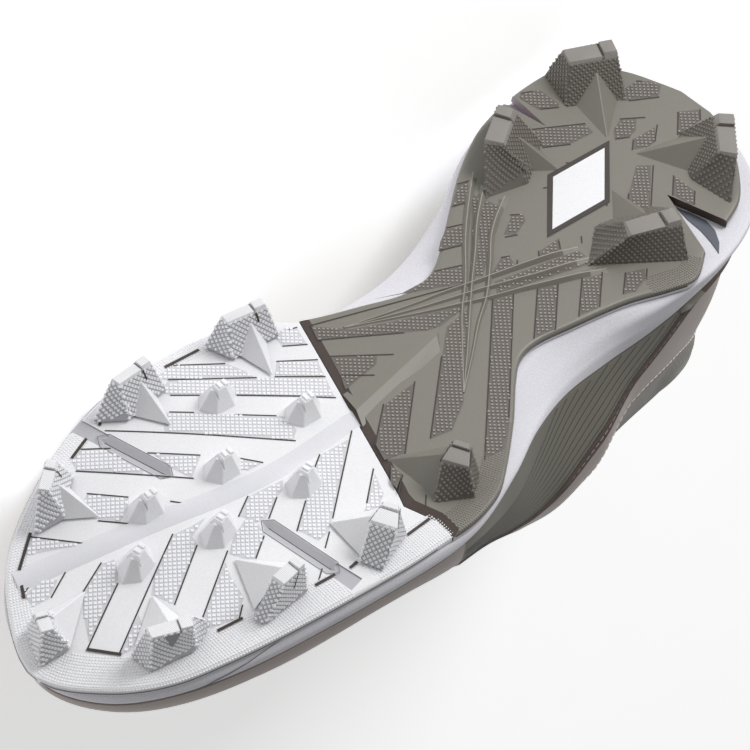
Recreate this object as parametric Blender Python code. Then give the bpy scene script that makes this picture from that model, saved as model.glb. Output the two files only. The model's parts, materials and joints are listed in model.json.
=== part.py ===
"""Baseball cleat, right shoe, as the separate solids that a maker would put together.

Sizes and tables are in millimetres in the shoe's own frame: x runs from the heel to the toe, y to
the medial side and z up from the stud tips. An empty lays the finished shoe on its medial side.
"""

import math

import bmesh
import bpy
from mathutils import Matrix, Vector


def table(columns, *rows):
    """Rows of a table as dictionaries, with one value for each named column."""
    return [dict(zip(columns.split(), row)) for row in rows]


MM = 0.001
UP = Vector((0, 0, 1))

# Driving sizes of the shoe
LENGTH = 292.0
BALL_WIDTH = 100.0
INSTEP_HEIGHT = 100.0

# Clearance between pieces, steps round the shoe for each section, and the angle of a sharp edge
GAP = 0.3
STEPS_PER_SECTION = 3
SHARP_EDGE = math.radians(35)

# Sole: height of the plates at heel and ball, the ground plane of the stud tips, and the toe's spring
HEEL_PLATE = 13.0
BALL_PLATE = 11.5
ARCH_START = 100.0
ARCH_LENGTH = 80.0
HEEL_GROUND = 3.0
GROUND_END = 200.0
TOE_SPRING = 16.0
SPRING_START = 205.0
SPRING_POWER = 1.8

# Plates: thickness, how far the forefoot plate is let in, and the rounding of the lower rim
PLATE = 3.0
PLATE_STEP = 0.9
RIM = 1.3

# Midsole: how far its top edge and the middle of its side stand out, and the middle's height
MIDSOLE_EDGE = 0.8
MIDSOLE_BULGE = 0.9
MIDSOLE_MIDDLE = 0.45

# Upper: wall, step of the raised lower panel, width of the step, rows below and above it
WALL = 2.0
PANEL_STEP = 0.9
SEAM_SHARE = 0.025
LOWER_ROWS = 4
UPPER_ROWS = 6

# Insole
INSOLE = 4.0
INSOLE_CLEAR = 2.2

# Tongue: it lies under the throat from one section to another, with a crowned middle
TONGUE = 4.0
TONGUE_CLEAR = 0.4
TONGUE_FIRST = 2.67
TONGUE_LAST = 8.33
TONGUE_WING_ROWS = 2
TONGUE_CROWN = 0.16
TONGUE_CENTRE = 30.0
THROAT_UP = Vector((0.25, 0, 0.97))
TONGUE_TOE = Vector((9, 0, -5.8))
TONGUE_TOP = Vector((-5, 0, 12))
TONGUE_TAPER = Vector((0, 0.2, 0))

# Lace: flat cord over the throat, crossed between pairs of eyelets
LACE_WIDTH = 6.5
LACE_THICK = 1.8
LACE_CLEAR = 0.9
LACE_LIFT = 0.25
LACE_CROWN = 0.17
EYELET_PAIRS = 6
EYELET_FIRST = 3.2
EYELET_LAST = 8.2
EYELET_SHARES = (0.90, 0.95, 1.0)
EYELET_SIDE = 0.3

# Rest on the medial side: the sole leans back until sole edge and upper both touch the floor
LEAN_DEG = -14.13
PITCH_DEG = 0.47

# One row for each section of the last, from the toe to the heel.
# along, edge_along: percent of LENGTH. medial, lateral, edge_medial, edge_lateral: percent of
# BALL_WIDTH. edge_height: percent of INSTEP_HEIGHT. The foot line is where the wall starts on
# the sole and the edge is the rim of throat and collar. rise and crown are the lengths of the
# wall curve's lower and upper handle, slope the wall's angle at the edge, lean how far the wall
# starts outward, in percent of rise, and seam the share of the wall below the raised panel's
# seam, in percent.
SECTIONS = table(
    "along medial lateral edge_along edge_medial edge_lateral edge_height rise crown slope lean seam",
    (99.4, 0.0, 0.0, 71.0, -3.5, -3.5, 69.0, 13, 50, 20, -4, 24),
    (97.3, 18.5, -17.0, 70.6, 0.0, -7.0, 69.3, 13, 46, 22, -4, 24),
    (92.6, 31.5, -30.0, 69.5, 3.5, -10.5, 70.3, 12, 40, 24, -4, 24),
    (85.6, 40.6, -40.3, 67.5, 6.5, -13.5, 72.3, 12, 34, 27, -4, 22),
    (77.0, 44.3, -47.7, 64.0, 9.0, -15.5, 75.5, 12, 30, 31, -3, 20),
    (68.5, 43.3, -52.5, 59.0, 10.5, -17.0, 80.0, 12, 28, 36, -2, 22),
    (60.0, 38.5, -54.5, 53.5, 12.5, -19.0, 85.0, 17, 27, 42, 2, 30),
    (51.4, 28.5, -48.5, 48.0, 14.5, -21.5, 90.5, 28, 26, 48, 12, 40),
    (44.5, 26.5, -41.5, 43.0, 17.0, -25.0, 95.0, 34, 24, 55, 20, 46),
    (38.4, 28.0, -37.5, 38.0, 22.0, -31.0, 93.0, 34, 22, 62, 25, 47),
    (31.5, 32.5, -36.5, 31.8, 28.5, -35.5, 84.0, 26, 17, 74, 25, 44),
    (24.0, 37.0, -36.5, 24.0, 32.0, -36.5, 77.0, 20, 15, 84, 20, 34),
    (16.4, 40.5, -35.3, 16.2, 33.0, -34.0, 81.0, 20, 16, 90, 15, 22),
    (9.6, 39.0, -31.5, 9.6, 28.0, -28.5, 89.0, 24, 18, 93, 15, 16),
    (4.8, 31.5, -23.5, 5.6, 20.5, -19.0, 95.0, 26, 20, 95, 10, 14),
    (2.0, 20.5, -11.0, 3.8, 12.0, -7.0, 98.0, 28, 20, 97, 10, 14),
    (1.1, 5.5, 5.5, 3.2, 4.0, 4.0, 99.0, 29, 20, 98, 10, 14),
)

# Midsole, one row for each section above: how far its lower edge lies outside the foot line on
# the medial and lateral side, that edge's height over the plates, and the width of the cove that
# runs from it down to the plates.
MIDSOLE = table(
    "under_medial under_lateral under_rise cove",
    (1.0, 1.0, 0.3, 2.0),
    (1.2, 0.6, 0.3, 2.0),
    (1.6, 0.3, 0.3, 2.0),
    (2.6, -0.4, 0.3, 2.0),
    (3.1, -0.6, 0.3, 2.0),
    (3.1, 0.3, 0.3, 2.0),
    (1.2, 1.0, 0.5, 2.5),
    (-2.0, 0.5, 2.5, 6.0),
    (-2.5, -2.5, 4.5, 8.0),
    (-2.5, -3.5, 4.5, 8.5),
    (-0.5, -2.5, 3.5, 5.0),
    (5.0, 3.0, 1.2, 3.0),
    (5.6, 6.4, 0.5, 2.5),
    (5.2, 6.4, 0.5, 2.5),
    (4.0, 4.6, 0.5, 2.5),
    (2.6, 3.6, 0.5, 2.5),
    (1.8, 1.8, 0.5, 2.5),
)

# Height of the sole from the plates' underside to the foot line
STACK = table(
    "x height",
    (0, 21.5), (40, 21.5), (62, 20.0), (92, 16.0), (112, 12.6), (146, 8.8), (168, 8.8),
    (200, 9.0), (240, 8.8), (270, 8.2), (292, 7.6),
)

# Edges of the two plates in plan
FORE_EDGE = table(
    "x medial lateral",
    (150, 24.5, -47), (158, 28.5, -51.5), (165, 34.5, -54.3), (176, 41, -55.6),
    (185, 44.5, -54.6), (200, 47, -52.8), (215, 48.2, -50), (230, 47.2, -46.4),
    (245, 44, -42), (258, 39.7, -37.2), (270, 34, -31.5), (280, 26, -23.5),
    (288, 15.5, -13.5), (292, 8, -6.5), (293.5, 3, -1.5),
)
REAR_EDGE = table(
    "x medial lateral",
    (2, 12, -2), (4, 18, -9), (8, 28, -15.5), (14, 36.5, -22.7), (22, 43, -29.5),
    (30, 45.2, -32.5), (45, 45.8, -35.5), (57, 44.5, -41), (66, 42, -38.5), (80, 35.5, -32.5),
    (100, 23.3, -27), (112, 16.3, -24.3), (120, 14.3, -25), (128, 15.2, -30), (140, 20.2, -39.5),
    (158, 28.5, -51.5), (165, 34.5, -54.3), (176, 41, -55.6), (190, 45.5, -54),
)

# Step along a plate near its ends and in its middle, each from a distance to the nearer end
PLATE_STATIONS = table("beyond step", (20, 8.0), (8, 4.0), (0, 2.0))

# Line in plan where the rear plate ends and the forefoot plate starts, medial to lateral
PLATE_JOIN = ((150, 48), (158.5, 28.5), (184, -34), (186, -38), (183, -48), (185, -66))
BEYOND_SHOE = 60.0

# Studs round the edge of the plates. x, y: middle of the tip. heading: direction of the tip's
# length. tip, rear, front: length of the tip and its width at both ends. buttress, reach: direction
# and length of the ridge that props the stud. height: share of the stud's height at the ridge's head.
# half, head: half the ridge's width, and how far its head lies from the middle of the tip.
FORE_STUDS = table(
    "name x y heading tip rear front buttress reach height half head",
    ("medial_back", 174.8, 36.8, 14, 13, 2.8, 2.8, -75, 18.2, 0.72, 6.5, 2.7),
    ("medial_ball", 214.5, 43.3, 2, 12, 2.8, 2.8, -93, 16.6, 0.72, 6.5, 2.7),
    ("medial_toe", 255, 35.7, -32, 10, 2.8, 2.8, -111, 16.8, 0.72, 6.5, 2.7),
    ("toe", 286.4, 4.9, -65, 6, 3.2, 3.2, 174, 19, 0.72, 7.5, 2.7),
    ("lateral_toe", 265.6, -22.9, 25, 12, 4, 3.6, 121, 17.6, 0.8, 8.5, 1.8),
    ("lateral_front", 231.6, -35, -3, 8.5, 3.8, 4.2, 84, 18.3, 0.84, 9.5, 1.8),
    ("lateral_ball", 198.4, -41.5, -26, 7, 3.8, 8, 61, 16.2, 0.84, 9.5, 1.2),
)
REAR_STUDS = table(
    "name x y heading tip rear front buttress reach height half head",
    ("lateral_mid", 167.5, -40.6, -25, 7.2, 4.2, 7.8, 59, 20.2, 0.84, 9.5, 1.2),
    ("heel_medial_back", 18, 36.8, 28, 16, 4.8, 4.8, -54, 29.6, 0.66, 11, 6),
    ("heel_medial_front", 63, 35.5, -25, 14, 4.8, 5.5, -110, 22.2, 0.66, 10, 6),
    ("heel_lateral_back", 12.5, -14.5, -44, 15, 4.8, 4.8, 42, 28.6, 0.66, 11, 6),
    ("heel_lateral_front", 58, -22.5, 22, 16, 4.8, 4.8, 111, 24.1, 0.66, 10, 6),
)
# How far a stud's foot spreads past its tip, along and across it: at the inner rear, the inner front,
# the rim's front and the rim's rear
FORE_FEET = table(
    "inner_rear inner_rear_side inner_front inner_front_side rim_front rim_front_side rim_rear rim_rear_side",
    (3, 5, 1, 6, 6, -0.5, 3.3, 1.4),
    (3, 5, 0.5, 5.5, 8.5, -1.5, 3.3, 1.4),
    (3, 5, 0.5, 5.5, 7, -1, 3.3, 1.4),
    (3, 5, 2, 5, 3.3, 1, 3, 1),
    (8, 0.5, 4, 1, 0.5, 2.5, 1, 1.5),
    (6, 1.5, 8, -0.5, 7, 0, 0, 2.5),
    (3, 3, 7.5, 0, 8, -1, 0, 4),
)
REAR_FEET = table(
    "inner_rear inner_rear_side inner_front inner_front_side rim_front rim_front_side rim_rear rim_rear_side",
    (3, 3, 8.5, -1.5, 2.5, 4, 0, 4.5),
    (0, 12, 3.5, 10.5, 5.5, -0.5, 3, 1.5),
    (0, 11, 4, 11.5, 15.5, -6, 3, 1.5),
    (0, 11, 3.5, 9, 13.5, -1.5, 3, 1.5),
    (0, 11, 4, 10, 14, -1.5, 0.5, 8),
)
STUD_ROOT = 1.5
TOE_STUD = 11.6

for stud, foot in zip(FORE_STUDS + REAR_STUDS, FORE_FEET + REAR_FEET):
    stud.update(foot)

# Small studs inside the forefoot: middle of the tip and direction of its length
INNER_STUDS = table(
    "x y heading",
    (182.5, 4.5, 8), (197.5, 24.5, 8), (214, 6.5, 8), (238.5, 12.5, 8), (230, -7.5, -10),
    (253, 2, -10), (201, -13, -10),
)
INNER_HEIGHT = 7.0
INNER_TIP = (6.0, 2.6)
INNER_BASE = (13.5, 9.0)
INNER_CORNERS = ((-0.5, 0), (-0.25, -0.5), (0.25, -0.5), (0.5, 0), (0.25, 0.5), (-0.25, 0.5))

# Channels that let the forefoot flex: both ends in plan
FLEX_CHANNELS = table("x0 y0 x1 y1", (226, 16.5, 233.5, 52), (219, -13.5, 215.5, -47))
CHANNEL_WIDTH = 5.0
CHANNEL_DEPTH = 1.6

# Notches that part the heel studs: the inner point and the two ends past the edge, in plan
HEEL_NOTCHES = table(
    "x y back_x back_y front_x front_y",
    (38.5, -13.5, 31.5, -38, 50.5, -44), (45, 30, 42.2, 52, 48.8, 52),
)

# Corners of the lace's flat section, in shares of half its width and thickness
LACE_SECTION = ((-1, -0.4), (-0.8, -1), (0.8, -1), (1, -0.4), (1, 0.4), (0.8, 1), (-0.8, 1), (-1, 0.4))


def curve(rows, column, x):
    """Smooth curve through one column of a table whose column x rises."""
    keys = [row["x"] for row in rows]
    values = [row[column] for row in rows]
    x = min(max(x, keys[0]), keys[-1])
    last = len(keys) - 2
    i = next((k for k in range(last) if x <= keys[k + 1]), last)

    def tangent(k):
        low = max(k - 1, 0)
        high = min(k + 1, len(keys) - 1)
        return (values[high] - values[low]) / (keys[high] - keys[low])

    step = keys[i + 1] - keys[i]
    f = (x - keys[i]) / step
    value_part = (1 + 2 * f) * (1 - f) ** 2 * values[i] + f * f * (3 - 2 * f) * values[i + 1]
    slope_part = f * (1 - f) ** 2 * tangent(i) + f * f * (f - 1) * tangent(i + 1)
    return value_part + step * slope_part


def ease(share):
    share = min(max(share, 0.0), 1.0)
    return share * share * (3 - 2 * share)


def level_direction(degrees):
    turn = math.radians(degrees)
    return Vector((math.cos(turn), math.sin(turn), 0))


def left_of(direction):
    return Vector((-direction.y, direction.x, 0))


def plate_under(x):
    """Height of the plates' underside."""
    drop = (HEEL_PLATE - BALL_PLATE) * ease((x - ARCH_START) / ARCH_LENGTH)
    spring = max(0.0, (x - SPRING_START) / (LENGTH - SPRING_START))
    return HEEL_PLATE - drop + TOE_SPRING * spring ** SPRING_POWER


def ground(x):
    """Plane that the stud tips of heel and ball stand on."""
    return HEEL_GROUND * (1 - x / GROUND_END)


def foot_bed(x):
    """Height of the midsole's top, which the upper and the insole stand on."""
    return plate_under(x) + curve(STACK, "height", x)


def perimeter_rows():
    """Sections as one closed ring: toe, medial side, heel, lateral side."""
    sides = [("medial", i) for i in range(len(SECTIONS) - 1)]
    sides += [("lateral", i) for i in range(len(SECTIONS) - 1, 0, -1)]
    ring = []
    for side, i in sides:
        row = SECTIONS[i]
        sole = MIDSOLE[i]
        ring.append({
            "foot_x": row["along"] * LENGTH / 100,
            "foot_y": row[side] * BALL_WIDTH / 100,
            "edge_x": row["edge_along"] * LENGTH / 100,
            "edge_y": row["edge_" + side] * BALL_WIDTH / 100,
            "edge_z": row["edge_height"] * INSTEP_HEIGHT / 100,
            "rise": row["rise"],
            "crown": row["crown"],
            "slope": math.radians(row["slope"]),
            "lean": row["lean"] / 100,
            "seam": row["seam"] / 100,
            "under": sole["under_" + side],
            "under_rise": sole["under_rise"],
            "cove": sole["cove"],
        })
    return ring


PERIMETER = perimeter_rows()


def station(s):
    """Values at place s round the perimeter, from a smooth closed curve through the rows."""
    i = math.floor(s)
    f = s - i
    before, start, end, after = (PERIMETER[(i + k) % len(PERIMETER)] for k in (-1, 0, 1, 2))

    def blend(a, b, c, d):
        cubic = 3 * (b - c) + d - a
        square = 2 * a - 5 * b + 4 * c - d
        return b + 0.5 * f * (c - a + f * (square + f * cubic))

    return {name: blend(before[name], start[name], end[name], after[name]) for name in start}


def outward(s):
    """Level direction out of the foot line at place s."""
    small = 0.05
    a = station(s - small)
    b = station(s + small)
    along = Vector((b["foot_x"] - a["foot_x"], b["foot_y"] - a["foot_y"], 0)).normalized()
    return -left_of(along)


def wall(s, share):
    """Point of the upper's outside: share 0 on the sole, share 1 at the rim of throat and collar."""
    at = station(s)
    out = outward(s)
    foot = Vector((at["foot_x"], at["foot_y"], foot_bed(at["foot_x"]) + GAP))
    edge = Vector((at["edge_x"], at["edge_y"], at["edge_z"]))
    low = foot + at["rise"] * (UP + at["lean"] * out)
    high = edge + at["crown"] * (math.cos(at["slope"]) * out - math.sin(at["slope"]) * UP)
    back = 1 - share
    lower_part = back ** 3 * foot + 3 * back * back * share * low
    upper_part = 3 * back * share * share * high + share ** 3 * edge
    return lower_part + upper_part


def wall_normal(s, share):
    small = 0.02
    across = wall(s + small, share) - wall(s - small, share)
    along = wall(s, min(share + small, 1.0)) - wall(s, max(share - small, 0.0))
    return across.cross(along).normalized()


def off_wall(s, share, offset):
    """Point of the wall, moved out of its surface by an offset."""
    return wall(s, share) + offset * wall_normal(s, share)


def wall_rows(s):
    """Shares of the wall's rows at place s, each with the height of the panel there."""
    seam = station(s)["seam"]
    start = seam + SEAM_SHARE
    lower = [(seam * k / LOWER_ROWS, PANEL_STEP) for k in range(LOWER_ROWS + 1)]
    upper = [(start + (1 - start) * k / (UPPER_ROWS - 1), 0.0) for k in range(UPPER_ROWS)]
    return lower + upper


def ring_places():
    return [i / STEPS_PER_SECTION for i in range(len(PERIMETER) * STEPS_PER_SECTION)]


def new_object(name, bm, finish=None):
    bmesh.ops.triangulate(bm, faces=bm.faces)
    bmesh.ops.recalc_face_normals(bm, faces=bm.faces)
    mesh = bpy.data.meshes.new(name)
    bm.to_mesh(mesh)
    bm.free()
    obj = bpy.data.objects.new(name, mesh)
    bpy.context.scene.collection.objects.link(obj)
    if finish is not None:
        mesh.materials.append(finish)
        mesh.shade_smooth()
        mesh.set_sharp_from_angle(angle=SHARP_EDGE)
    return obj


def loft(bm, rings, wrap=False, caps=None):
    """Skin through closed rings of points. caps is None, "face" or, across a long ring, "ladder"."""
    loops = [[bm.verts.new(point * MM) for point in ring] for ring in rings]
    count = len(loops[0])
    pairs = list(zip(loops, loops[1:]))
    if wrap:
        pairs.append((loops[-1], loops[0]))
    for low, high in pairs:
        for k in range(count):
            n = (k + 1) % count
            bm.faces.new((low[k], low[n], high[n], high[k]))
    for loop in (loops[0], loops[-1]) if caps else ():
        if caps == "face":
            bm.faces.new(loop)
            continue
        for k in range(count // 2):
            rung = [loop[k], loop[k + 1], loop[(count - k - 1) % count], loop[(count - k) % count]]
            bm.faces.new(list(dict.fromkeys(rung)))


def material(name, colour, roughness):
    made = bpy.data.materials.new(name)
    made.use_nodes = True
    shader = made.node_tree.nodes["Principled BSDF"]
    shader.inputs["Base Color"].default_value = (*colour, 1)
    shader.inputs["Roughness"].default_value = roughness
    shader.inputs["Metallic"].default_value = 0.0
    return made


def boolean(obj, other, operation):
    """Join or cut a piece with a helper object, which is then hidden as a wire."""
    modifier = obj.modifiers.new(other.name, "BOOLEAN")
    modifier.operation = operation
    modifier.solver = "EXACT"
    modifier.object = other
    other.hide_render = True
    other.display_type = "WIRE"


def prism(bm, outline, low, high):
    """Upright prism over a plan outline, between two heights given as functions of x."""
    bottom = [Vector((x, y, low(x))) for x, y in outline]
    top = [Vector((x, y, high(x))) for x, y in outline]
    loft(bm, (bottom, top), caps="face")


def plate_places(first, last):
    """Places of a plate's sections, closer together near its ends."""
    places = [first]
    while places[-1] < last:
        to_end = min(places[-1] - first, last - places[-1])
        step = next(row["step"] for row in PLATE_STATIONS if to_end >= row["beyond"])
        places.append(min(places[-1] + step, last))
    return places


def plate_slab(name, edges, step, finish):
    """Sole plate with rounded lower rims, through level sections across the shoe."""
    rings = []
    for x in plate_places(edges[0]["x"], edges[-1]["x"]):
        medial = curve(edges, "medial", x)
        lateral = curve(edges, "lateral", x)
        low = plate_under(x) + step
        top = plate_under(x) + PLATE
        section = ((lateral + RIM, low), (medial - RIM, low), (medial, low + RIM),
                   (medial, top), (lateral, top), (lateral, low + RIM))
        rings.append([Vector((x, y, z)) for y, z in section])
    bm = bmesh.new()
    loft(bm, rings, caps="face")
    return new_object(name, bm, finish)


def tip_level(x):
    """Height of a stud's tip: on the ground, or a stud's length under the plate where the toe springs."""
    return max(ground(x), plate_under(x) - TOE_STUD)


def stud_body(bm, stud):
    """Tapered stud on a foot that spreads by its own measure at each corner."""
    tip = Vector((stud["x"], stud["y"], tip_level(stud["x"])))
    along = level_direction(stud["heading"])
    across = left_of(along)
    inner_side = across.dot(level_direction(stud["buttress"]))
    half = stud["tip"] / 2
    corners = ((-half, -stud["rear"] / 2), (half, -stud["front"] / 2),
               (half, stud["front"] / 2), (-half, stud["rear"] / 2))
    top = []
    base = []
    for a, b in corners:
        point = tip + a * along + b * across
        point.z += ground(point.x) - ground(tip.x)
        top.append(point)
        corner = ("inner" if b * inner_side > 0 else "rim") + ("_front" if a > 0 else "_rear")
        reach_along = math.copysign(1, a) * stud[corner]
        reach_across = math.copysign(1, b) * stud[corner + "_side"]
        root = point + reach_along * along + reach_across * across
        root.z = plate_under(root.x) + STUD_ROOT
        base.append(root)
    loft(bm, (top, base), caps="face")


def stud_ridge(bm, stud):
    """Ridge that props a stud from inside: a long pyramid with its head in the stud."""
    middle = Vector((stud["x"], stud["y"], 0))
    inward = level_direction(stud["buttress"])
    beside = left_of(inward) * stud["half"]
    floor = plate_under(stud["x"])
    head = middle + inward * stud["head"]
    head.z = floor - stud["height"] * (floor - tip_level(stud["x"]))
    near = middle + inward * stud["rear"]
    feet = [near - beside, near + beside, middle + inward * stud["reach"]]
    for foot in feet:
        foot.z = plate_under(foot.x) + STUD_ROOT
    corners = [bm.verts.new(point * MM) for point in (head, *feet)]
    for face in ((0, 1, 2), (0, 2, 3), (0, 3, 1), (1, 3, 2)):
        bm.faces.new([corners[k] for k in face])


def stud_shapes(name, studs, shape):
    bm = bmesh.new()
    for stud in studs:
        shape(bm, stud)
    return new_object(name, bm)


def inner_stud(bm, stud):
    """Small six-sided stud inside the forefoot."""
    along = level_direction(stud["heading"])
    across = left_of(along)
    middle = Vector((stud["x"], stud["y"], 0))
    rings = []
    for (length, width), height in ((INNER_TIP, INNER_HEIGHT), (INNER_BASE, -STUD_ROOT)):
        ring = [middle + a * length * along + b * width * across for a, b in INNER_CORNERS]
        for point in ring:
            point.z = plate_under(point.x) + PLATE_STEP - height
        rings.append(ring)
    loft(bm, rings, caps="face")


def channel_cutter():
    """Pointed flex channels cut up into the forefoot plate from below."""
    bm = bmesh.new()
    for channel in FLEX_CHANNELS:
        start = Vector((channel["x0"], channel["y0"], 0))
        end = Vector((channel["x1"], channel["y1"], 0))
        along = (end - start).normalized() * CHANNEL_WIDTH / 2
        beside = left_of(along)
        corners = (start, start + along + beside, end + beside, end - beside, start + along - beside)
        outline = [(corner.x, corner.y) for corner in corners]
        prism(bm, outline, lambda x: plate_under(x) - PLATE,
              lambda x: plate_under(x) + PLATE_STEP + CHANNEL_DEPTH)
    return new_object("flex_channels", bm)


def notch_cutter():
    """Wedges that part the heel studs, right through the rear plate."""
    bm = bmesh.new()
    for notch in HEEL_NOTCHES:
        outline = [(notch[end + "x"], notch[end + "y"]) for end in ("", "back_", "front_")]
        prism(bm, outline, lambda x: plate_under(x) - PLATE, lambda x: plate_under(x) + 2 * PLATE)
    return new_object("heel_notches", bm)


def join_cutter(name, side):
    """Block over everything behind (side -1) or ahead of (side 1) the line between the plates."""
    outline = [(x - side * GAP / 2, y) for x, y in PLATE_JOIN]
    far = LENGTH + BEYOND_SHOE if side > 0 else -BEYOND_SHOE
    outline += [(far, PLATE_JOIN[-1][1]), (far, PLATE_JOIN[0][1])]
    bm = bmesh.new()
    prism(bm, outline, lambda x: -BEYOND_SHOE, lambda x: BEYOND_SHOE)
    return new_object(name, bm)


def build_forefoot_plate():
    white = material("white_plate", (0.83, 0.83, 0.85), 0.45)
    plate = plate_slab("forefoot_plate", FORE_EDGE, PLATE_STEP, white)
    boolean(plate, join_cutter("behind_join", -1), "DIFFERENCE")
    boolean(plate, stud_shapes("fore_studs", FORE_STUDS, stud_body), "UNION")
    boolean(plate, stud_shapes("fore_ridges", FORE_STUDS, stud_ridge), "UNION")
    boolean(plate, stud_shapes("inner_studs", INNER_STUDS, inner_stud), "UNION")
    boolean(plate, channel_cutter(), "DIFFERENCE")
    return plate


def build_rear_plate():
    grey = material("grey_plate", (0.26, 0.25, 0.215), 0.5)
    plate = plate_slab("rear_plate", REAR_EDGE, 0.0, grey)
    boolean(plate, join_cutter("ahead_of_join", 1), "DIFFERENCE")
    boolean(plate, notch_cutter(), "DIFFERENCE")
    boolean(plate, stud_shapes("rear_studs", REAR_STUDS, stud_body), "UNION")
    boolean(plate, stud_shapes("rear_ridges", REAR_STUDS, stud_ridge), "UNION")
    return plate


def build_midsole():
    """Foam between plates and upper: a cove over the plates, then a side that bulges to its top edge."""
    rings = [[], [], [], []]
    for s in ring_places():
        at = station(s)
        out = outward(s)
        foot = Vector((at["foot_x"], at["foot_y"], 0))
        base = foot + (at["under"] - at["cove"]) * out
        lower = foot + at["under"] * out
        middle = foot + (at["under"] / 2 + MIDSOLE_BULGE) * out
        top_edge = foot + MIDSOLE_EDGE * out
        base.z = plate_under(base.x) + PLATE + GAP
        lower.z = plate_under(lower.x) + PLATE + GAP + at["under_rise"]
        top_edge.z = foot_bed(foot.x)
        middle.z = lower.z + MIDSOLE_MIDDLE * (top_edge.z - lower.z)
        for ring, point in zip(rings, (base, lower, middle, top_edge)):
            ring.append(point)
    bm = bmesh.new()
    loft(bm, rings, caps="ladder")
    return new_object("midsole", bm, material("white_foam", (0.78, 0.78, 0.81), 0.6))


def build_upper():
    """Hollow shell over the last, open at throat and collar and underneath."""
    outside = []
    inside = []
    for s in ring_places():
        outside.append([off_wall(s, share, raised) for share, raised in wall_rows(s)])
        inside.append([off_wall(s, share, -WALL) for share, raised in wall_rows(s)])
        for point in (outside[-1][0], inside[-1][0]):
            point.z = foot_bed(outside[-1][0].x) + GAP
    sections = [outer + inner[::-1] for outer, inner in zip(outside, inside)]
    bm = bmesh.new()
    loft(bm, sections, wrap=True)
    return new_object("upper", bm, material("grey_upper", (0.14, 0.13, 0.115), 0.75))


def build_insole():
    bottom = []
    top = []
    for s in ring_places():
        at = station(s)
        inner = Vector((at["foot_x"], at["foot_y"], 0)) - (WALL + INSOLE_CLEAR) * outward(s)
        inner.z = foot_bed(inner.x) + GAP
        bottom.append(inner)
        top.append(inner + INSOLE * UP)
    bm = bmesh.new()
    loft(bm, (bottom, top), caps="ladder")
    return new_object("insole", bm, material("insole_foam", (0.09, 0.085, 0.08), 0.9))


def tongue_section(s):
    """Closed ring of the tongue: wings under both sides of the upper and a crown over the throat."""
    shares = [share for share, raised in wall_rows(s)][-TONGUE_WING_ROWS:]
    medial = [off_wall(s, share, -WALL - TONGUE_CLEAR) for share in shares]
    lateral = [off_wall(len(PERIMETER) - s, share, -WALL - TONGUE_CLEAR) for share in shares]
    span = (medial[-1] - lateral[-1]).length
    crown = []
    for f in (0.25, 0.5, 0.75):
        height = span * TONGUE_CROWN * (1 - (2 * f - 1) ** 2)
        crown.append(medial[-1].lerp(lateral[-1], f) + THROAT_UP * height)
    outer = medial + crown + lateral[::-1]
    centre = medial[-1].lerp(lateral[-1], 0.5) - THROAT_UP * TONGUE_CENTRE
    inner = [point + (centre - point).normalized() * TONGUE for point in outer]
    return outer + inner[::-1]


def narrowed(section, shift):
    """Copy of a tongue section, moved on and drawn in towards its middle."""
    middle = sum(section, Vector()) / len(section)
    return [point + shift + (middle - point) * TONGUE_TAPER for point in section]


def build_tongue():
    steps = round((TONGUE_LAST - TONGUE_FIRST) * STEPS_PER_SECTION)
    sections = [tongue_section(TONGUE_FIRST + k / STEPS_PER_SECTION) for k in range(steps + 1)]
    sections.insert(0, narrowed(sections[0], TONGUE_TOE))
    sections.append(narrowed(sections[-1], TONGUE_TOP))
    sections.append(narrowed(sections[-1], TONGUE_TOP))
    bm = bmesh.new()
    loft(bm, sections, caps="face")
    return new_object("tongue", bm, material("tongue_cloth", (0.17, 0.16, 0.145), 0.85))


def lace_bar(bm, start, end, lift):
    """Flat lace from the medial eyelet at section start to the lateral eyelet at section end."""
    height = LACE_CLEAR + LACE_THICK / 2 + lift
    medial = []
    lateral = []
    for k, share in enumerate(EYELET_SHARES):
        run = (end - start) * EYELET_SIDE * k / (len(EYELET_SHARES) - 1)
        for side, at in ((medial, start + run), (lateral, len(PERIMETER) - end + run)):
            side.append((off_wall(at, share, height), wall_normal(at, share)))
    rims = (medial[-1][0], lateral[-1][0])
    top = rims[0].lerp(rims[1], 0.5) + THROAT_UP * LACE_CROWN * (rims[0] - rims[1]).length
    path = medial + [(top, THROAT_UP)] + lateral[::-1]
    rings = []
    for k, (point, away) in enumerate(path):
        ahead = (path[min(k + 1, len(path) - 1)][0] - path[max(k - 1, 0)][0]).normalized()
        up = (away - ahead * away.dot(ahead)).normalized() * LACE_THICK / 2
        beside = ahead.cross(up).normalized() * LACE_WIDTH / 2
        rings.append([point + a * beside + b * up for a, b in LACE_SECTION])
    loft(bm, rings, caps="face")


def build_lace():
    step = (EYELET_LAST - EYELET_FIRST) / (EYELET_PAIRS - 1)
    pairs = [EYELET_FIRST + step * i for i in range(EYELET_PAIRS)]
    rising = bmesh.new()
    falling = bmesh.new()
    bottom = bmesh.new()
    for low, high in zip(pairs, pairs[1:]):
        lace_bar(rising, low, high, 0)
        lace_bar(falling, high, low, 2 * LACE_LIFT)
    lace_bar(bottom, pairs[0], pairs[0], LACE_LIFT)
    lace = new_object("lace", rising, material("lace_cord", (0.12, 0.115, 0.105), 0.85))
    boolean(lace, new_object("lace_other_way", falling), "UNION")
    boolean(lace, new_object("lace_bottom_bar", bottom), "UNION")
    return lace


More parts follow.
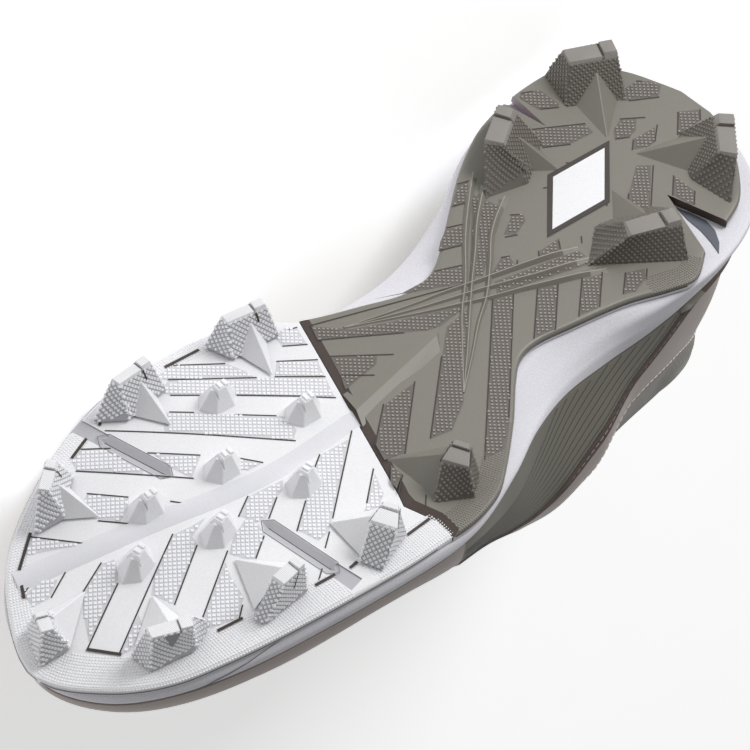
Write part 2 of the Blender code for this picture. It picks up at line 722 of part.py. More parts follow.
def lay_down(pieces):
    """Lay the shoe on its medial side, toe along +X and sole towards -Y, with its box on the origin."""
    on_side = Matrix.Rotation(math.radians(LEAN_DEG - 90), 4, "X")
    turn = Matrix.Rotation(math.radians(PITCH_DEG), 4, "Y") @ on_side
    graph = bpy.context.evaluated_depsgraph_get()
    points = [turn @ v.co for piece in pieces for v in piece.evaluated_get(graph).data.vertices]
    low = Vector((min(p[i] for p in points) for i in range(3)))
    high = Vector((max(p[i] for p in points) for i in range(3)))
    holder = bpy.data.objects.new("shoe_on_side", None)
    holder.matrix_world = Matrix.Translation((-(low.x + high.x) / 2, -(low.y + high.y) / 2, -low.z)) @ turn
    for obj in list(bpy.context.scene.collection.objects):
        obj.parent = holder
    bpy.context.scene.collection.objects.link(holder)


def main():
    for obj in list(bpy.data.objects):
        bpy.data.objects.remove(obj)
    lay_down([
        build_forefoot_plate(), build_rear_plate(), build_midsole(), build_upper(),
        build_insole(), build_tongue(), build_lace(),
    ])


main()
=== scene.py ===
"""Looks of a baseball cleat, right shoe, lying on its medial side.

Sizes and tables are in millimetres in the shoe's own frame: x runs from the heel to the toe, y to
the medial side and z up from the stud tips. to_frame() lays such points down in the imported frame.
"""

import json
import math

import bpy
import numpy as np
from mathutils import Matrix, Vector


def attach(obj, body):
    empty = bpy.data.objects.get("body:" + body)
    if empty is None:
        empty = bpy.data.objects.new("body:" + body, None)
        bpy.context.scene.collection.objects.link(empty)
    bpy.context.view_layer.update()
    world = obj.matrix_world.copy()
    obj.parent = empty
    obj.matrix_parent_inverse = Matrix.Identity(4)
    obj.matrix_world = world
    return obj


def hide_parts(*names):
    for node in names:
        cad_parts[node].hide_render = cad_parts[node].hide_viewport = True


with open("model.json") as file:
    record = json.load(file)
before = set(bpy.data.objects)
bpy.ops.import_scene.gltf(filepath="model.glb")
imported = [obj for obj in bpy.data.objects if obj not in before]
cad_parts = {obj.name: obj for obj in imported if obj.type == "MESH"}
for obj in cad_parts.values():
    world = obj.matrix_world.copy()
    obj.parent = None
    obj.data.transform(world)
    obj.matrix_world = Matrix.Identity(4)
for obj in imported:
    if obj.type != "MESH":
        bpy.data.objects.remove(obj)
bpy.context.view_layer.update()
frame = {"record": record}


def table(columns, *rows):
    """Columns of a table as arrays, one value for each row."""
    return dict(zip(columns.split(), np.array(rows, float).T))


MM = 0.001
UP = np.array((0.0, 0.0, 1.0))

# Driving sizes of the shoe, as in its solids
LENGTH = 292.0
BALL_WIDTH = 100.0
INSTEP_HEIGHT = 100.0
GAP = 0.3

# Sole
HEEL_PLATE = 13.0
BALL_PLATE = 11.5
ARCH_START = 100.0
ARCH_LENGTH = 80.0
HEEL_GROUND = 3.0
GROUND_END = 200.0
TOE_SPRING = 16.0
SPRING_START = 205.0
SPRING_POWER = 1.8
PLATE = 3.0
PLATE_STEP = 0.9
RIM = 1.3
MIDSOLE_EDGE = 0.8
MIDSOLE_BULGE = 1.3
MIDSOLE_MIDDLE = 0.45

# Upper
WALL = 2.0
PANEL_STEP = 0.9

# Rest on the medial side
LEAN_DEG = -14.13
PITCH_DEG = 0.47
HEEL_STUD_TIP = (18.0, 36.8)

# Sections of the last from the toe to the heel, in percent of LENGTH, BALL_WIDTH and INSTEP_HEIGHT
SECTIONS = table(
    "along medial lateral edge_along edge_medial edge_lateral edge_height rise crown slope lean seam",
    (99.4, 0.0, 0.0, 71.0, -3.5, -3.5, 69.0, 13, 50, 20, -4, 24),
    (97.3, 18.5, -17.0, 70.6, 0.0, -7.0, 69.3, 13, 46, 22, -4, 24),
    (92.6, 31.5, -30.0, 69.5, 3.5, -10.5, 70.3, 12, 40, 24, -4, 24),
    (85.6, 40.6, -40.3, 67.5, 6.5, -13.5, 72.3, 12, 34, 27, -4, 22),
    (77.0, 44.3, -47.7, 64.0, 9.0, -15.5, 75.5, 12, 30, 31, -3, 20),
    (68.5, 43.3, -52.5, 59.0, 10.5, -17.0, 80.0, 12, 28, 36, -2, 22),
    (60.0, 38.5, -54.5, 53.5, 12.5, -19.0, 85.0, 17, 27, 42, 2, 34),
    (51.4, 28.5, -48.5, 48.0, 14.5, -21.5, 90.5, 28, 26, 48, 12, 45),
    (44.5, 26.5, -41.5, 43.0, 17.0, -25.0, 95.0, 34, 24, 55, 20, 46),
    (38.4, 28.0, -37.5, 38.0, 22.0, -31.0, 93.0, 34, 22, 62, 25, 40),
    (31.5, 32.5, -36.5, 31.8, 28.5, -35.5, 84.0, 26, 17, 74, 25, 35),
    (24.0, 37.0, -36.5, 24.0, 32.0, -36.5, 77.0, 20, 15, 84, 20, 25),
    (16.4, 40.5, -35.3, 16.2, 33.0, -34.0, 81.0, 20, 16, 90, 15, 6),
    (9.6, 39.0, -31.5, 9.6, 28.0, -28.5, 89.0, 24, 18, 93, 15, -2),
    (4.8, 31.5, -23.5, 5.6, 20.5, -19.0, 95.0, 26, 20, 95, 10, -10),
    (2.0, 20.5, -11.0, 3.8, 12.0, -7.0, 98.0, 28, 20, 97, 10, -10),
    (1.1, 5.5, 5.5, 3.2, 4.0, 4.0, 99.0, 29, 20, 98, 10, -10),
)
MIDSOLE = table(
    "under_medial under_lateral under_rise cove",
    (1.0, 1.0, 0.3, 2.0), (1.2, 0.6, 0.3, 2.0), (1.6, 0.3, 0.3, 2.0), (2.6, -0.4, 0.3, 2.0),
    (3.1, -0.6, 0.3, 2.0), (3.1, 0.3, 0.3, 2.0), (1.2, 1.0, 0.5, 2.5), (-2.0, 0.5, 2.5, 6.0),
    (-2.5, -2.5, 4.5, 8.0), (-2.5, -3.5, 4.5, 8.5), (-0.5, -2.5, 3.5, 5.0), (5.0, 3.0, 1.2, 3.0),
    (5.6, 6.4, 0.5, 2.5), (5.2, 6.4, 0.5, 2.5), (4.0, 4.6, 0.5, 2.5), (2.6, 3.6, 0.5, 2.5),
    (1.8, 1.8, 0.5, 2.5),
)
STACK = table(
    "x height",
    (0, 21.5), (40, 21.5), (62, 20.0), (92, 16.0), (112, 12.6), (146, 8.8), (168, 8.8),
    (200, 9.0), (240, 8.8), (270, 8.2), (292, 7.6),
)
FORE_EDGE = table(
    "x medial lateral",
    (150, 24.5, -47), (158, 28.5, -51.5), (165, 34.5, -54.3), (176, 41, -55.6),
    (185, 44.5, -54.6), (200, 47, -52.8), (215, 48.2, -50), (230, 47.2, -46.4),
    (245, 44, -42), (258, 39.7, -37.2), (270, 34, -31.5), (280, 26, -23.5),
    (288, 15.5, -13.5), (292, 8, -6.5), (293.5, 3, -1.5),
)
REAR_EDGE = table(
    "x medial lateral",
    (2, 12, -2), (4, 18, -9), (8, 28, -15.5), (14, 36.5, -22.7), (22, 43, -29.5),
    (30, 45.2, -32.5), (45, 45.8, -35.5), (57, 44.5, -41), (66, 42, -38.5), (80, 35.5, -32.5),
    (100, 23.3, -27), (112, 16.3, -24.3), (120, 14.3, -25), (128, 15.2, -30), (140, 20.2, -39.5),
    (158, 28.5, -51.5), (165, 34.5, -54.3), (176, 41, -55.6), (190, 45.5, -54),
)
PLATE_JOIN = ((150, 48), (158.5, 28.5), (184, -34), (186, -38), (183, -48), (185, -66))
BEYOND_SHOE = 60.0

# Studs: middle of the tip, heading, the tip's length and its width at both ends, the heading and
# reach of the ridge that props the stud, the share of the stud's height at the ridge's head, half the
# ridge's width, and how far its head lies from the middle of the tip
FORE_STUDS = table(
    "x y heading tip rear front buttress reach height half head",
    (174.8, 36.8, 14, 13, 2.8, 2.8, -75, 18.2, 0.72, 6.5, 2.7),
    (214.5, 43.3, 2, 12, 2.8, 2.8, -93, 16.6, 0.72, 6.5, 2.7),
    (255, 35.7, -32, 10, 2.8, 2.8, -111, 16.8, 0.72, 6.5, 2.7),
    (286.4, 4.9, -65, 6, 3.2, 3.2, 174, 19, 0.72, 7.5, 2.7),
    (265.6, -22.9, 25, 12, 4, 3.6, 121, 17.6, 0.8, 8.5, 1.8),
    (231.6, -35, -3, 8.5, 3.8, 4.2, 84, 18.3, 0.84, 9.5, 1.8),
    (198.4, -41.5, -26, 7, 3.8, 8, 61, 16.2, 0.84, 9.5, 1.2),
)
REAR_STUDS = table(
    "x y heading tip rear front buttress reach height half head",
    (167.5, -40.6, -25, 7.2, 4.2, 7.8, 59, 20.2, 0.84, 9.5, 1.2),
    (18, 36.8, 28, 16, 4.8, 4.8, -54, 29.6, 0.66, 11, 6),
    (63, 35.5, -25, 14, 4.8, 5.5, -110, 22.2, 0.66, 10, 6),
    (12.5, -14.5, -44, 15, 4.8, 4.8, 42, 28.6, 0.66, 11, 6),
    (58, -22.5, 22, 16, 4.8, 4.8, 111, 24.1, 0.66, 10, 6),
)
# How far a stud's foot spreads past its tip, along and across it: at the inner rear, the inner front,
# the rim's front and the rim's rear
FORE_STUDS |= table(
    "inner_rear inner_rear_side inner_front inner_front_side rim_front rim_front_side rim_rear rim_rear_side",
    (3, 5, 1, 6, 6, -0.5, 3.3, 1.4),
    (3, 5, 0.5, 5.5, 8.5, -1.5, 3.3, 1.4),
    (3, 5, 0.5, 5.5, 7, -1, 3.3, 1.4),
    (3, 5, 2, 5, 3.3, 1, 3, 1),
    (8, 0.5, 4, 1, 0.5, 2.5, 1, 1.5),
    (6, 1.5, 8, -0.5, 7, 0, 0, 2.5),
    (3, 3, 7.5, 0, 8, -1, 0, 4),
)
REAR_STUDS |= table(
    "inner_rear inner_rear_side inner_front inner_front_side rim_front rim_front_side rim_rear rim_rear_side",
    (3, 3, 8.5, -1.5, 2.5, 4, 0, 4.5),
    (0, 12, 3.5, 10.5, 5.5, -0.5, 3, 1.5),
    (0, 11, 4, 11.5, 15.5, -6, 3, 1.5),
    (0, 11, 3.5, 9, 13.5, -1.5, 3, 1.5),
    (0, 11, 4, 10, 14, -1.5, 0.5, 8),
)
STUD_ROOT = 0.3
TOE_STUD = 11.6
BUTTRESS_BEVEL = 0.2
RIDGE_BACK = 0.06
INNER_STUDS = table(
    "x y heading",
    (182.5, 4.5, 8), (197.5, 24.5, 8), (214, 6.5, 8), (238.5, 12.5, 8), (230, -7.5, -10),
    (253, 2, -10), (201, -13, -10),
)
INNER_HEIGHT = 7.0
INNER_TIP = (6.0, 2.6)
INNER_BASE = (13.5, 9.0)
INNER_CORNERS = ((-0.5, 0), (-0.25, -0.5), (0.25, -0.5), (0.5, 0), (0.25, 0.5), (-0.25, 0.5))
FLEX_CHANNELS = ((225.6, 14.6, 233.5, 52), (219, -13.5, 215.5, -47))
CHANNEL_WIDTH = 5.0
CHANNEL_DEPTH = 1.1
HEEL_NOTCHES = (
    ((38.5, -13.5), (31.5, -38), (50.5, -44)),
    ((45, 30), (42.2, 52), (48.8, 52)),
)


def ease(share):
    share = np.clip(share, 0, 1)
    return share * share * (3 - 2 * share)


def curve(rows, column, x):
    """Smooth curve through one column of a table whose column x rises."""
    keys = rows["x"]
    values = rows[column]
    last = len(keys) - 1
    x = np.clip(x, keys[0], keys[-1])
    i = np.clip(np.searchsorted(keys, x) - 1, 0, last - 1)
    before = np.maximum(np.arange(last + 1) - 1, 0)
    after = np.minimum(np.arange(last + 1) + 1, last)
    tangent = (values[after] - values[before]) / (keys[after] - keys[before])
    step = keys[i + 1] - keys[i]
    f = (x - keys[i]) / step
    value_part = (1 + 2 * f) * (1 - f) ** 2 * values[i] + f * f * (3 - 2 * f) * values[i + 1]
    slope_part = f * (1 - f) ** 2 * tangent[i] + f * f * (f - 1) * tangent[i + 1]
    return value_part + step * slope_part


def plate_under(x):
    """Height of the plates' underside."""
    drop = (HEEL_PLATE - BALL_PLATE) * ease((x - ARCH_START) / ARCH_LENGTH)
    spring = np.maximum(0.0, (x - SPRING_START) / (LENGTH - SPRING_START))
    return HEEL_PLATE - drop + TOE_SPRING * spring ** SPRING_POWER


def ground(x):
    return HEEL_GROUND * (1 - x / GROUND_END)


def foot_bed(x):
    return plate_under(x) + curve(STACK, "height", x)


def tip_level(x):
    return np.maximum(ground(x), plate_under(x) - TOE_STUD)


def level_direction(degrees):
    turn = math.radians(degrees)
    return np.array((math.cos(turn), math.sin(turn), 0))


def left_of(direction):
    return np.stack((-direction[..., 1], direction[..., 0], 0 * direction[..., 0]), -1)


def unit(vectors):
    return vectors / np.linalg.norm(vectors, axis=-1, keepdims=True)


def both_sides(medial, lateral):
    """Column of the closed ring of sections: toe, medial side, heel, lateral side."""
    return np.concatenate((medial[:-1], lateral[:0:-1]))


def perimeter():
    ring = {
        "foot_x": both_sides(SECTIONS["along"], SECTIONS["along"]) * LENGTH / 100,
        "foot_y": both_sides(SECTIONS["medial"], SECTIONS["lateral"]) * BALL_WIDTH / 100,
        "edge_x": both_sides(SECTIONS["edge_along"], SECTIONS["edge_along"]) * LENGTH / 100,
        "edge_y": both_sides(SECTIONS["edge_medial"], SECTIONS["edge_lateral"]) * BALL_WIDTH / 100,
        "edge_z": both_sides(SECTIONS["edge_height"], SECTIONS["edge_height"]) * INSTEP_HEIGHT / 100,
        "slope": np.radians(both_sides(SECTIONS["slope"], SECTIONS["slope"])),
        "under": both_sides(MIDSOLE["under_medial"], MIDSOLE["under_lateral"]),
    }
    for name in ("rise", "crown", "lean", "seam"):
        ring[name] = both_sides(SECTIONS[name], SECTIONS[name])
    for name in ("under_rise", "cove"):
        ring[name] = both_sides(MIDSOLE[name], MIDSOLE[name])
    return ring


PERIMETER = perimeter()
PLACES = len(PERIMETER["foot_x"])


def at(s, name):
    """Value of one column at place s round the perimeter, on a smooth closed curve."""
    i = np.floor(s).astype(int)
    f = s - i
    a, b, c, d = (PERIMETER[name][(i + k) % PLACES] for k in (-1, 0, 1, 2))
    return b + 0.5 * f * (c - a + f * (2 * a - 5 * b + 4 * c - d + f * (3 * (b - c) + d - a)))


def points(x, y, z):
    return np.stack(np.broadcast_arrays(x, y, z), -1).astype(float)


def foot_line(s):
    return points(at(s, "foot_x"), at(s, "foot_y"), 0)


def outward(s):
    small = 0.05
    return -left_of(unit(foot_line(s + small) - foot_line(s - small)))


def wall(s, share):
    """Point of the upper's outside: share 0 on the sole, share 1 at the rim of throat and collar."""
    s, share = np.broadcast_arrays(np.asarray(s, float), np.asarray(share, float))
    out = outward(s)
    foot = foot_line(s)
    foot[..., 2] = foot_bed(foot[..., 0]) + GAP
    edge = points(at(s, "edge_x"), at(s, "edge_y"), at(s, "edge_z"))
    slope = at(s, "slope")[..., None]
    low = foot + at(s, "rise")[..., None] * (UP + at(s, "lean")[..., None] / 100 * out)
    high = edge + at(s, "crown")[..., None] * (np.cos(slope) * out - np.sin(slope) * UP)
    t = share[..., None]
    back = 1 - t
    return back ** 3 * foot + 3 * back * back * t * low + 3 * back * t * t * high + t ** 3 * edge


def wall_normal(s, share):
    small = 0.02
    s, share = np.broadcast_arrays(np.asarray(s, float), np.asarray(share, float))
    across = wall(s + small, share) - wall(s - small, share)
    along = wall(s, np.minimum(share + small, 1)) - wall(s, np.maximum(share - small, 0))
    return unit(np.cross(across, along))


def off_wall(s, share, offset):
    return wall(s, share) + np.asarray(offset, float)[..., None] * wall_normal(s, share)


WALL_PLACES = np.arange(0, PLACES + 0.1, 0.25)
WALL_SHARES = np.linspace(0, 1, 25)
WALL_LINES = wall(WALL_PLACES[:, None], WALL_SHARES[None, :])
WALL_LENGTHS = np.linalg.norm(np.diff(WALL_LINES, axis=1), axis=-1).sum(1)


def wall_length(s):
    """Length of the wall from the sole to its rim at place s."""
    return np.interp(np.mod(s, PLACES), WALL_PLACES, WALL_LENGTHS)


def seam_share(s):
    return at(s, "seam") / 100


ON_SIDE = Matrix.Rotation(math.radians(LEAN_DEG - 90), 3, "X")
TURN = np.array(Matrix.Rotation(math.radians(PITCH_DEG), 3, "Y") @ ON_SIDE)
MOUNTS = {mount["name"]: mount for mount in frame["record"]["mounts"]}
TIP = points(*HEEL_STUD_TIP, ground(HEEL_STUD_TIP[0]))
SHOE_ZERO = np.array(MOUNTS["heel_stud_tip"]["pos_m"]) - TURN @ TIP * MM


def to_frame(places):
    """Points in the shoe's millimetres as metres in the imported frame."""
    return np.asarray(places) @ TURN.T * MM + SHOE_ZERO


# Materials


def srgb(red, green, blue):
    """Linear colour of a screen colour from 0 to 255."""
    screen = np.array((red, green, blue)) / 255
    linear = np.where(screen <= 0.04045, screen / 12.92, ((screen + 0.055) / 1.055) ** 2.4)
    return (*linear, 1.0)


TINT_LIMITS = (0.25, 0.75)
ROUGHNESS_SPREAD = 0.07
BUMP_STRENGTH = 0.6


def finish(name, colour, roughness, size, depth, pattern="noise", tint=0.1, coat=0.0, sheen=0.0):
    """Material with a pattern of a size and depth in millimetres, which also varies its colour."""
    made = bpy.data.materials.new(name)
    made.use_nodes = True
    nodes = made.node_tree.nodes
    link = made.node_tree.links.new
    shader = nodes["Principled BSDF"]
    shader.inputs["Coat Weight"].default_value = coat
    shader.inputs["Sheen Weight"].default_value = sheen
    place = nodes.new("ShaderNodeTexCoord").outputs["Object"]
    frequency = 1 / (size * MM)
    if pattern == "cells":
        texture = nodes.new("ShaderNodeTexVoronoi")
        texture.inputs["Scale"].default_value = frequency
        height = texture.outputs["Distance"]
    elif pattern == "weave":
        waves = []
        for axis in ("X", "Z"):
            wave = nodes.new("ShaderNodeTexWave")
            wave.bands_direction = axis
            wave.inputs["Scale"].default_value = frequency / 3
            wave.inputs["Distortion"].default_value = 0.4
            wave.inputs["Detail"].default_value = 1
            link(place, wave.inputs["Vector"])
            waves.append(wave)
        texture = nodes.new("ShaderNodeMath")
        texture.operation = "MULTIPLY"
        link(waves[0].outputs["Fac"], texture.inputs[0])
        link(waves[1].outputs["Fac"], texture.inputs[1])
        height = texture.outputs["Value"]
    else:
        texture = nodes.new("ShaderNodeTexNoise")
        texture.inputs["Scale"].default_value = frequency
        texture.inputs["Detail"].default_value = 3
        height = texture.outputs["Fac"]
    if pattern != "weave":
        link(place, texture.inputs["Vector"])
    ramp = nodes.new("ShaderNodeValToRGB")
    ramp.color_ramp.elements[0].position = TINT_LIMITS[0]
    ramp.color_ramp.elements[1].position = TINT_LIMITS[1]
    base = np.array(srgb(*colour))
    ramp.color_ramp.elements[0].color = (*(base[:3] * (1 - tint)), 1)
    ramp.color_ramp.elements[1].color = (*np.minimum(base[:3] * (1 + tint), 1), 1)
    link(height, ramp.inputs["Fac"])
    link(ramp.outputs["Color"], shader.inputs["Base Color"])
    rough = nodes.new("ShaderNodeMapRange")
    rough.inputs["To Min"].default_value = roughness - ROUGHNESS_SPREAD
    rough.inputs["To Max"].default_value = roughness + ROUGHNESS_SPREAD
    link(height, rough.inputs["Value"])
    link(rough.outputs["Result"], shader.inputs["Roughness"])
    bump = nodes.new("ShaderNodeBump")
    bump.inputs["Strength"].default_value = BUMP_STRENGTH
    bump.inputs["Distance"].default_value = depth * MM
    link(height, bump.inputs["Height"])
    link(bump.outputs["Normal"], shader.inputs["Normal"])
    return made


WHITE_PLASTIC = finish("white_plastic", (232, 232, 235), 0.45, 0.4, 0.04, tint=0.06)
# Ground between the waffle bumps on the white plate: painted shade, darker than the white plastic.
WHITE_GROUND_PAINTED_SHADE = finish("white_ground_painted_shade", (206, 206, 211), 0.5, 0.5, 0.03, tint=0.04)
WHITE_DOT = finish("white_dot", (243, 243, 246), 0.4, 0.5, 0.02, tint=0.02)
# Body of the white studs: painted shade, darker than the white plate's ground.
WHITE_STUD_PAINTED_SHADE = finish("white_stud_painted_shade", (182, 182, 187), 0.5, 0.5, 0.03, tint=0.05)
WHITE_TIP = finish("white_tip", (234, 234, 237), 0.5, 0.55, 0.08, pattern="weave", tint=0.12)
# Notches on the white studs: painted shade in the recess.
WHITE_NOTCH_PAINTED_SHADE = finish("white_notch_painted_shade", (150, 150, 155), 0.5, 0.4, 0.03, tint=0.06)
WHITE_SPINE = finish("white_spine", (218, 218, 223), 0.45, 0.4, 0.04, tint=0.05)
GREY_PLASTIC = finish("grey_plastic", (120, 117, 108), 0.42, 0.45, 0.03, tint=0.05)
GREY_GROUND = finish("grey_ground", (98, 93, 87), 0.5, 0.5, 0.03, tint=0.06)
GREY_DOT = finish("grey_dot", (152, 146, 140), 0.42, 0.5, 0.02, tint=0.05)
# Ground of the grey studs' bodies; in the notch between their tip's pads it is painted shade.
GREY_SHADE = finish("grey_shade", (100, 95, 88), 0.5, 0.5, 0.03, tint=0.06)
GREY_STUD_DOT = finish("grey_stud_dot", (132, 127, 120), 0.42, 0.5, 0.02, tint=0.05)
GREY_TIP = finish("grey_tip", (138, 134, 129), 0.45, 0.5, 0.06, pattern="weave", tint=0.12)
# Painted highlight on the crests of the waist ribs.
GREY_CREST_HIGHLIGHT = finish("grey_crest_painted_highlight", (148, 145, 136), 0.42, 0.5, 0.02, tint=0.05)
GREY_GRAIN = finish("grey_grain", (134, 128, 122), 0.45, 0.5, 0.02, tint=0.05)
# Painted shade for the forefoot plate's rim line, the flex channels' outlines and the lap line at the toe's
# foam.
RIM_PAINTED_SHADE = finish("rim_painted_shade", (120, 119, 122), 0.6, 0.4, 0.02)
# Painted shade for the sole's narrow grooves, creases, gaps and dark edges, drawn as thin dark lines.
PAINTED_SHADE_LINE = finish("painted_shade_line", (58, 50, 46), 0.6, 0.4, 0.02)
# Dark brown of the grey plate's walls at the join, the chamfer and the lateral heel notch, and of its rim
# line: partly the plate's own colour, partly painted shade.
BROWN_EDGE_AND_SHADE = finish("brown_edge_and_shade", (72, 60, 54), 0.5, 0.4, 0.03)
# Floor of the flex channels: painted shade, greyer than the white plate.
CHANNEL_PAINTED_SHADE = finish("channel_painted_shade", (182, 182, 187), 0.5, 0.4, 0.03, tint=0.05)
FOAM = finish("foam", (213, 212, 218), 0.55, 0.4, 0.06, pattern="cells", tint=0.06)
# Painted shadow filling the deep lateral notch in the foam, laid on as a thin leaf.
SLATE_PAINTED_SHADOW = finish("slate_groove_painted_shadow", (88, 92, 102), 0.6, 0.4, 0.03)
MAUVE = finish("mauve_groove", (160, 148, 156), 0.6, 0.4, 0.03)
RIBBED = finish("ribbed_quarter", (118, 115, 105), 0.55, 0.6, 0.05, tint=0.07)
RIB_LINE = finish("rib_line", (55, 48, 44), 0.65, 0.4, 0.02)
BINDING = finish("brown_binding", (92, 79, 74), 0.75, 0.5, 0.12, pattern="weave", tint=0.25)
THREAD = finish("pale_thread", (205, 196, 190), 0.7, 0.25, 0.05, tint=0.1)
TAUPE = finish("taupe_side", (168, 158, 152), 0.5, 0.7, 0.05, tint=0.05)
COLLAR = finish("collar_cloth", (122, 119, 112), 0.8, 0.7, 0.12, pattern="weave", tint=0.12, sheen=0.2)
LINING = finish("grey_lining", (110, 107, 102), 0.85, 0.7, 0.15, pattern="weave", tint=0.15, sheen=0.3)
CLOTH = finish("tongue_cloth", (118, 112, 105), 0.85, 0.8, 0.15, pattern="weave", tint=0.15, sheen=0.3)
CORD = finish("lace_cord", (104, 100, 95), 0.8, 0.6, 0.15, pattern="weave", tint=0.2, sheen=0.2)
SOCK = finish("insole_cloth", (84, 81, 78), 0.9, 0.8, 0.15, pattern="weave", tint=0.15, sheen=0.3)
EYELET = finish("eyelet_ring", (70, 66, 62), 0.4, 0.5, 0.02)


# Modelling


def select_only(piece):
    bpy.ops.object.select_all(action="DESELECT")
    piece.select_set(True)
    bpy.context.view_layer.objects.active = piece


def points_of(piece):
    flat = np.empty(3 * len(piece.data.vertices))
    piece.data.vertices.foreach_get("co", flat)
    return flat.reshape(-1, 3)


def move_points(piece, places):
    piece.data.vertices.foreach_set("co", np.ravel(places))
    piece.data.update()


def apply(piece, kind, **settings):
    """Add a modifier with its settings and apply it."""
    select_only(piece)
    modifier = piece.modifiers.new(kind.lower(), kind)
    for name, value in settings.items():
        setattr(modifier, name, value)
    bpy.ops.object.modifier_apply(modifier=modifier.name)


def in_edit_mode(piece, *steps):
    """Run operators on all of a piece's mesh in edit mode."""
    select_only(piece)
    bpy.ops.object.mode_set(mode="EDIT")
    bpy.ops.mesh.select_all(action="SELECT")
    for step in steps:
        step()
    bpy.ops.object.mode_set(mode="OBJECT")


def weld():
    bpy.ops.mesh.remove_doubles(threshold=0.002 * MM)


def face_out():
    bpy.ops.mesh.normals_make_consistent(inside=False)


def close(piece):
    """Weld the seams of a grid, fill its open ends and turn its faces out."""
    in_edit_mode(piece, weld, lambda: bpy.ops.mesh.fill_holes(sides=0), face_out)


def bevel_edges(piece, width, segments):
    in_edit_mode(piece, lambda: bpy.ops.mesh.bevel(
        offset=width * MM, segments=segments, affect="EDGES", clamp_overlap=True))


def smooth(piece, degrees=30):
    select_only(piece)
    bpy.ops.object.shade_smooth_by_angle(angle=math.radians(degrees))
    return piece


def primitive(add, name, *finishes, **settings):
    """Primitive added with everything deselected, with its name and materials."""
    bpy.ops.object.select_all(action="DESELECT")
    add(**settings)
    piece = bpy.context.object
    piece.name = name
    for made in finishes:
        piece.data.materials.append(made)
    return piece


def grid(name, along, across, place, *finishes):
    """Grid primitive whose points are moved to place(u, v), with u and v from 0 to 1."""
    piece = primitive(bpy.ops.mesh.primitive_grid_add, name, *finishes,
                      x_subdivisions=along, y_subdivisions=across, size=2)
    flat = points_of(piece)
    u = np.round((flat[:, 0] + 1) / 2 * along) / along
    v = np.round((flat[:, 1] + 1) / 2 * across) / across
    move_points(piece, to_frame(place(u, v)))
    return piece


def join(name, pieces):
    bpy.ops.object.select_all(action="DESELECT")
    for piece in pieces:
        piece.select_set(True)
    bpy.context.view_layer.objects.active = pieces[0]
    bpy.ops.object.join()
    pieces[0].name = name
    return pieces[0]


def prism(name, outline, low, high, made, top=None):
    """Prism over a plan outline, with another outline on top if given: a cylinder primitive."""
    piece = primitive(bpy.ops.mesh.primitive_cylinder_add, name, made,
                      vertices=len(outline), radius=1, depth=2)
    flat = points_of(piece)
    places = np.empty_like(flat)
    for below, level, corners in ((True, low, outline), (False, high, outline if top is None else top)):
        chosen = np.flatnonzero((flat[:, 2] < 0) == below)
        plan = np.array(corners, float)
        places[chosen] = points(plan[:, 0], plan[:, 1], level(plan[:, 0]))
    move_points(piece, to_frame(places))
    in_edit_mode(piece, face_out)
    return piece


def cut(piece, cutter):
    """Cut a piece with a cutter, whose material the cut faces take."""
    apply(piece, "BOOLEAN", operation="DIFFERENCE", solver="EXACT", object=cutter, material_mode="TRANSFER")
    bpy.data.objects.remove(cutter)


def block(name, tip, base, bevel, made, cuts=0):
    """Tapered block between four tip and four base corners: a cube primitive with bevelled, divided faces."""
    piece = primitive(bpy.ops.mesh.primitive_cube_add, name, made, size=2)
    flat = points_of(piece)
    order = {(-1, -1): 0, (1, -1): 1, (1, 1): 2, (-1, 1): 3}
    places = [
        (tip if corner[2] < 0 else base)[order[int(corner[0]), int(corner[1])]] for corner in flat
    ]
    move_points(piece, to_frame(places))
    in_edit_mode(piece, face_out)
    if bevel:
        bevel_edges(piece, bevel, 2)
    if cuts:
        in_edit_mode(piece, lambda: bpy.ops.mesh.subdivide(number_cuts=cuts))
    return piece


def rides(piece, slot, *replaced):
    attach(piece, "root")
    if replaced:
        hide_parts(*replaced)
    return piece


def smooth_line(corners, steps):
    """Smooth line through corner points, with a number of steps for each stretch."""
    corners = np.asarray(corners)
    before = np.concatenate((corners[:1], corners[:-1]))
    after = np.concatenate((corners[1:], corners[-1:]))
    tangents = (after - before) / 2
    line = []
    for k in range(len(corners) - 1):
        for f in np.arange(steps) / steps:
            line.append(
                (1 + 2 * f) * (1 - f) ** 2 * corners[k] + f * f * (3 - 2 * f) * corners[k + 1]
                + f * (1 - f) ** 2 * tangents[k] + f * f * (f - 1) * tangents[k + 1]
            )
    line.append(corners[-1])
    return np.array(line)


def run_along(line):
    """Distance along a line at each of its points."""
    return np.concatenate(([0], np.cumsum(np.linalg.norm(np.diff(line, axis=0), axis=1))))


def beside_line(line):
    """Directions to the left of a plan line."""
    ahead = unit(np.gradient(line, axis=0))
    return np.stack((-ahead[:, 1], ahead[:, 0]), 1)


def step_at(share, count):
    """Number of the step at a share of a grid's side."""
    return np.round(share * count).astype(int)
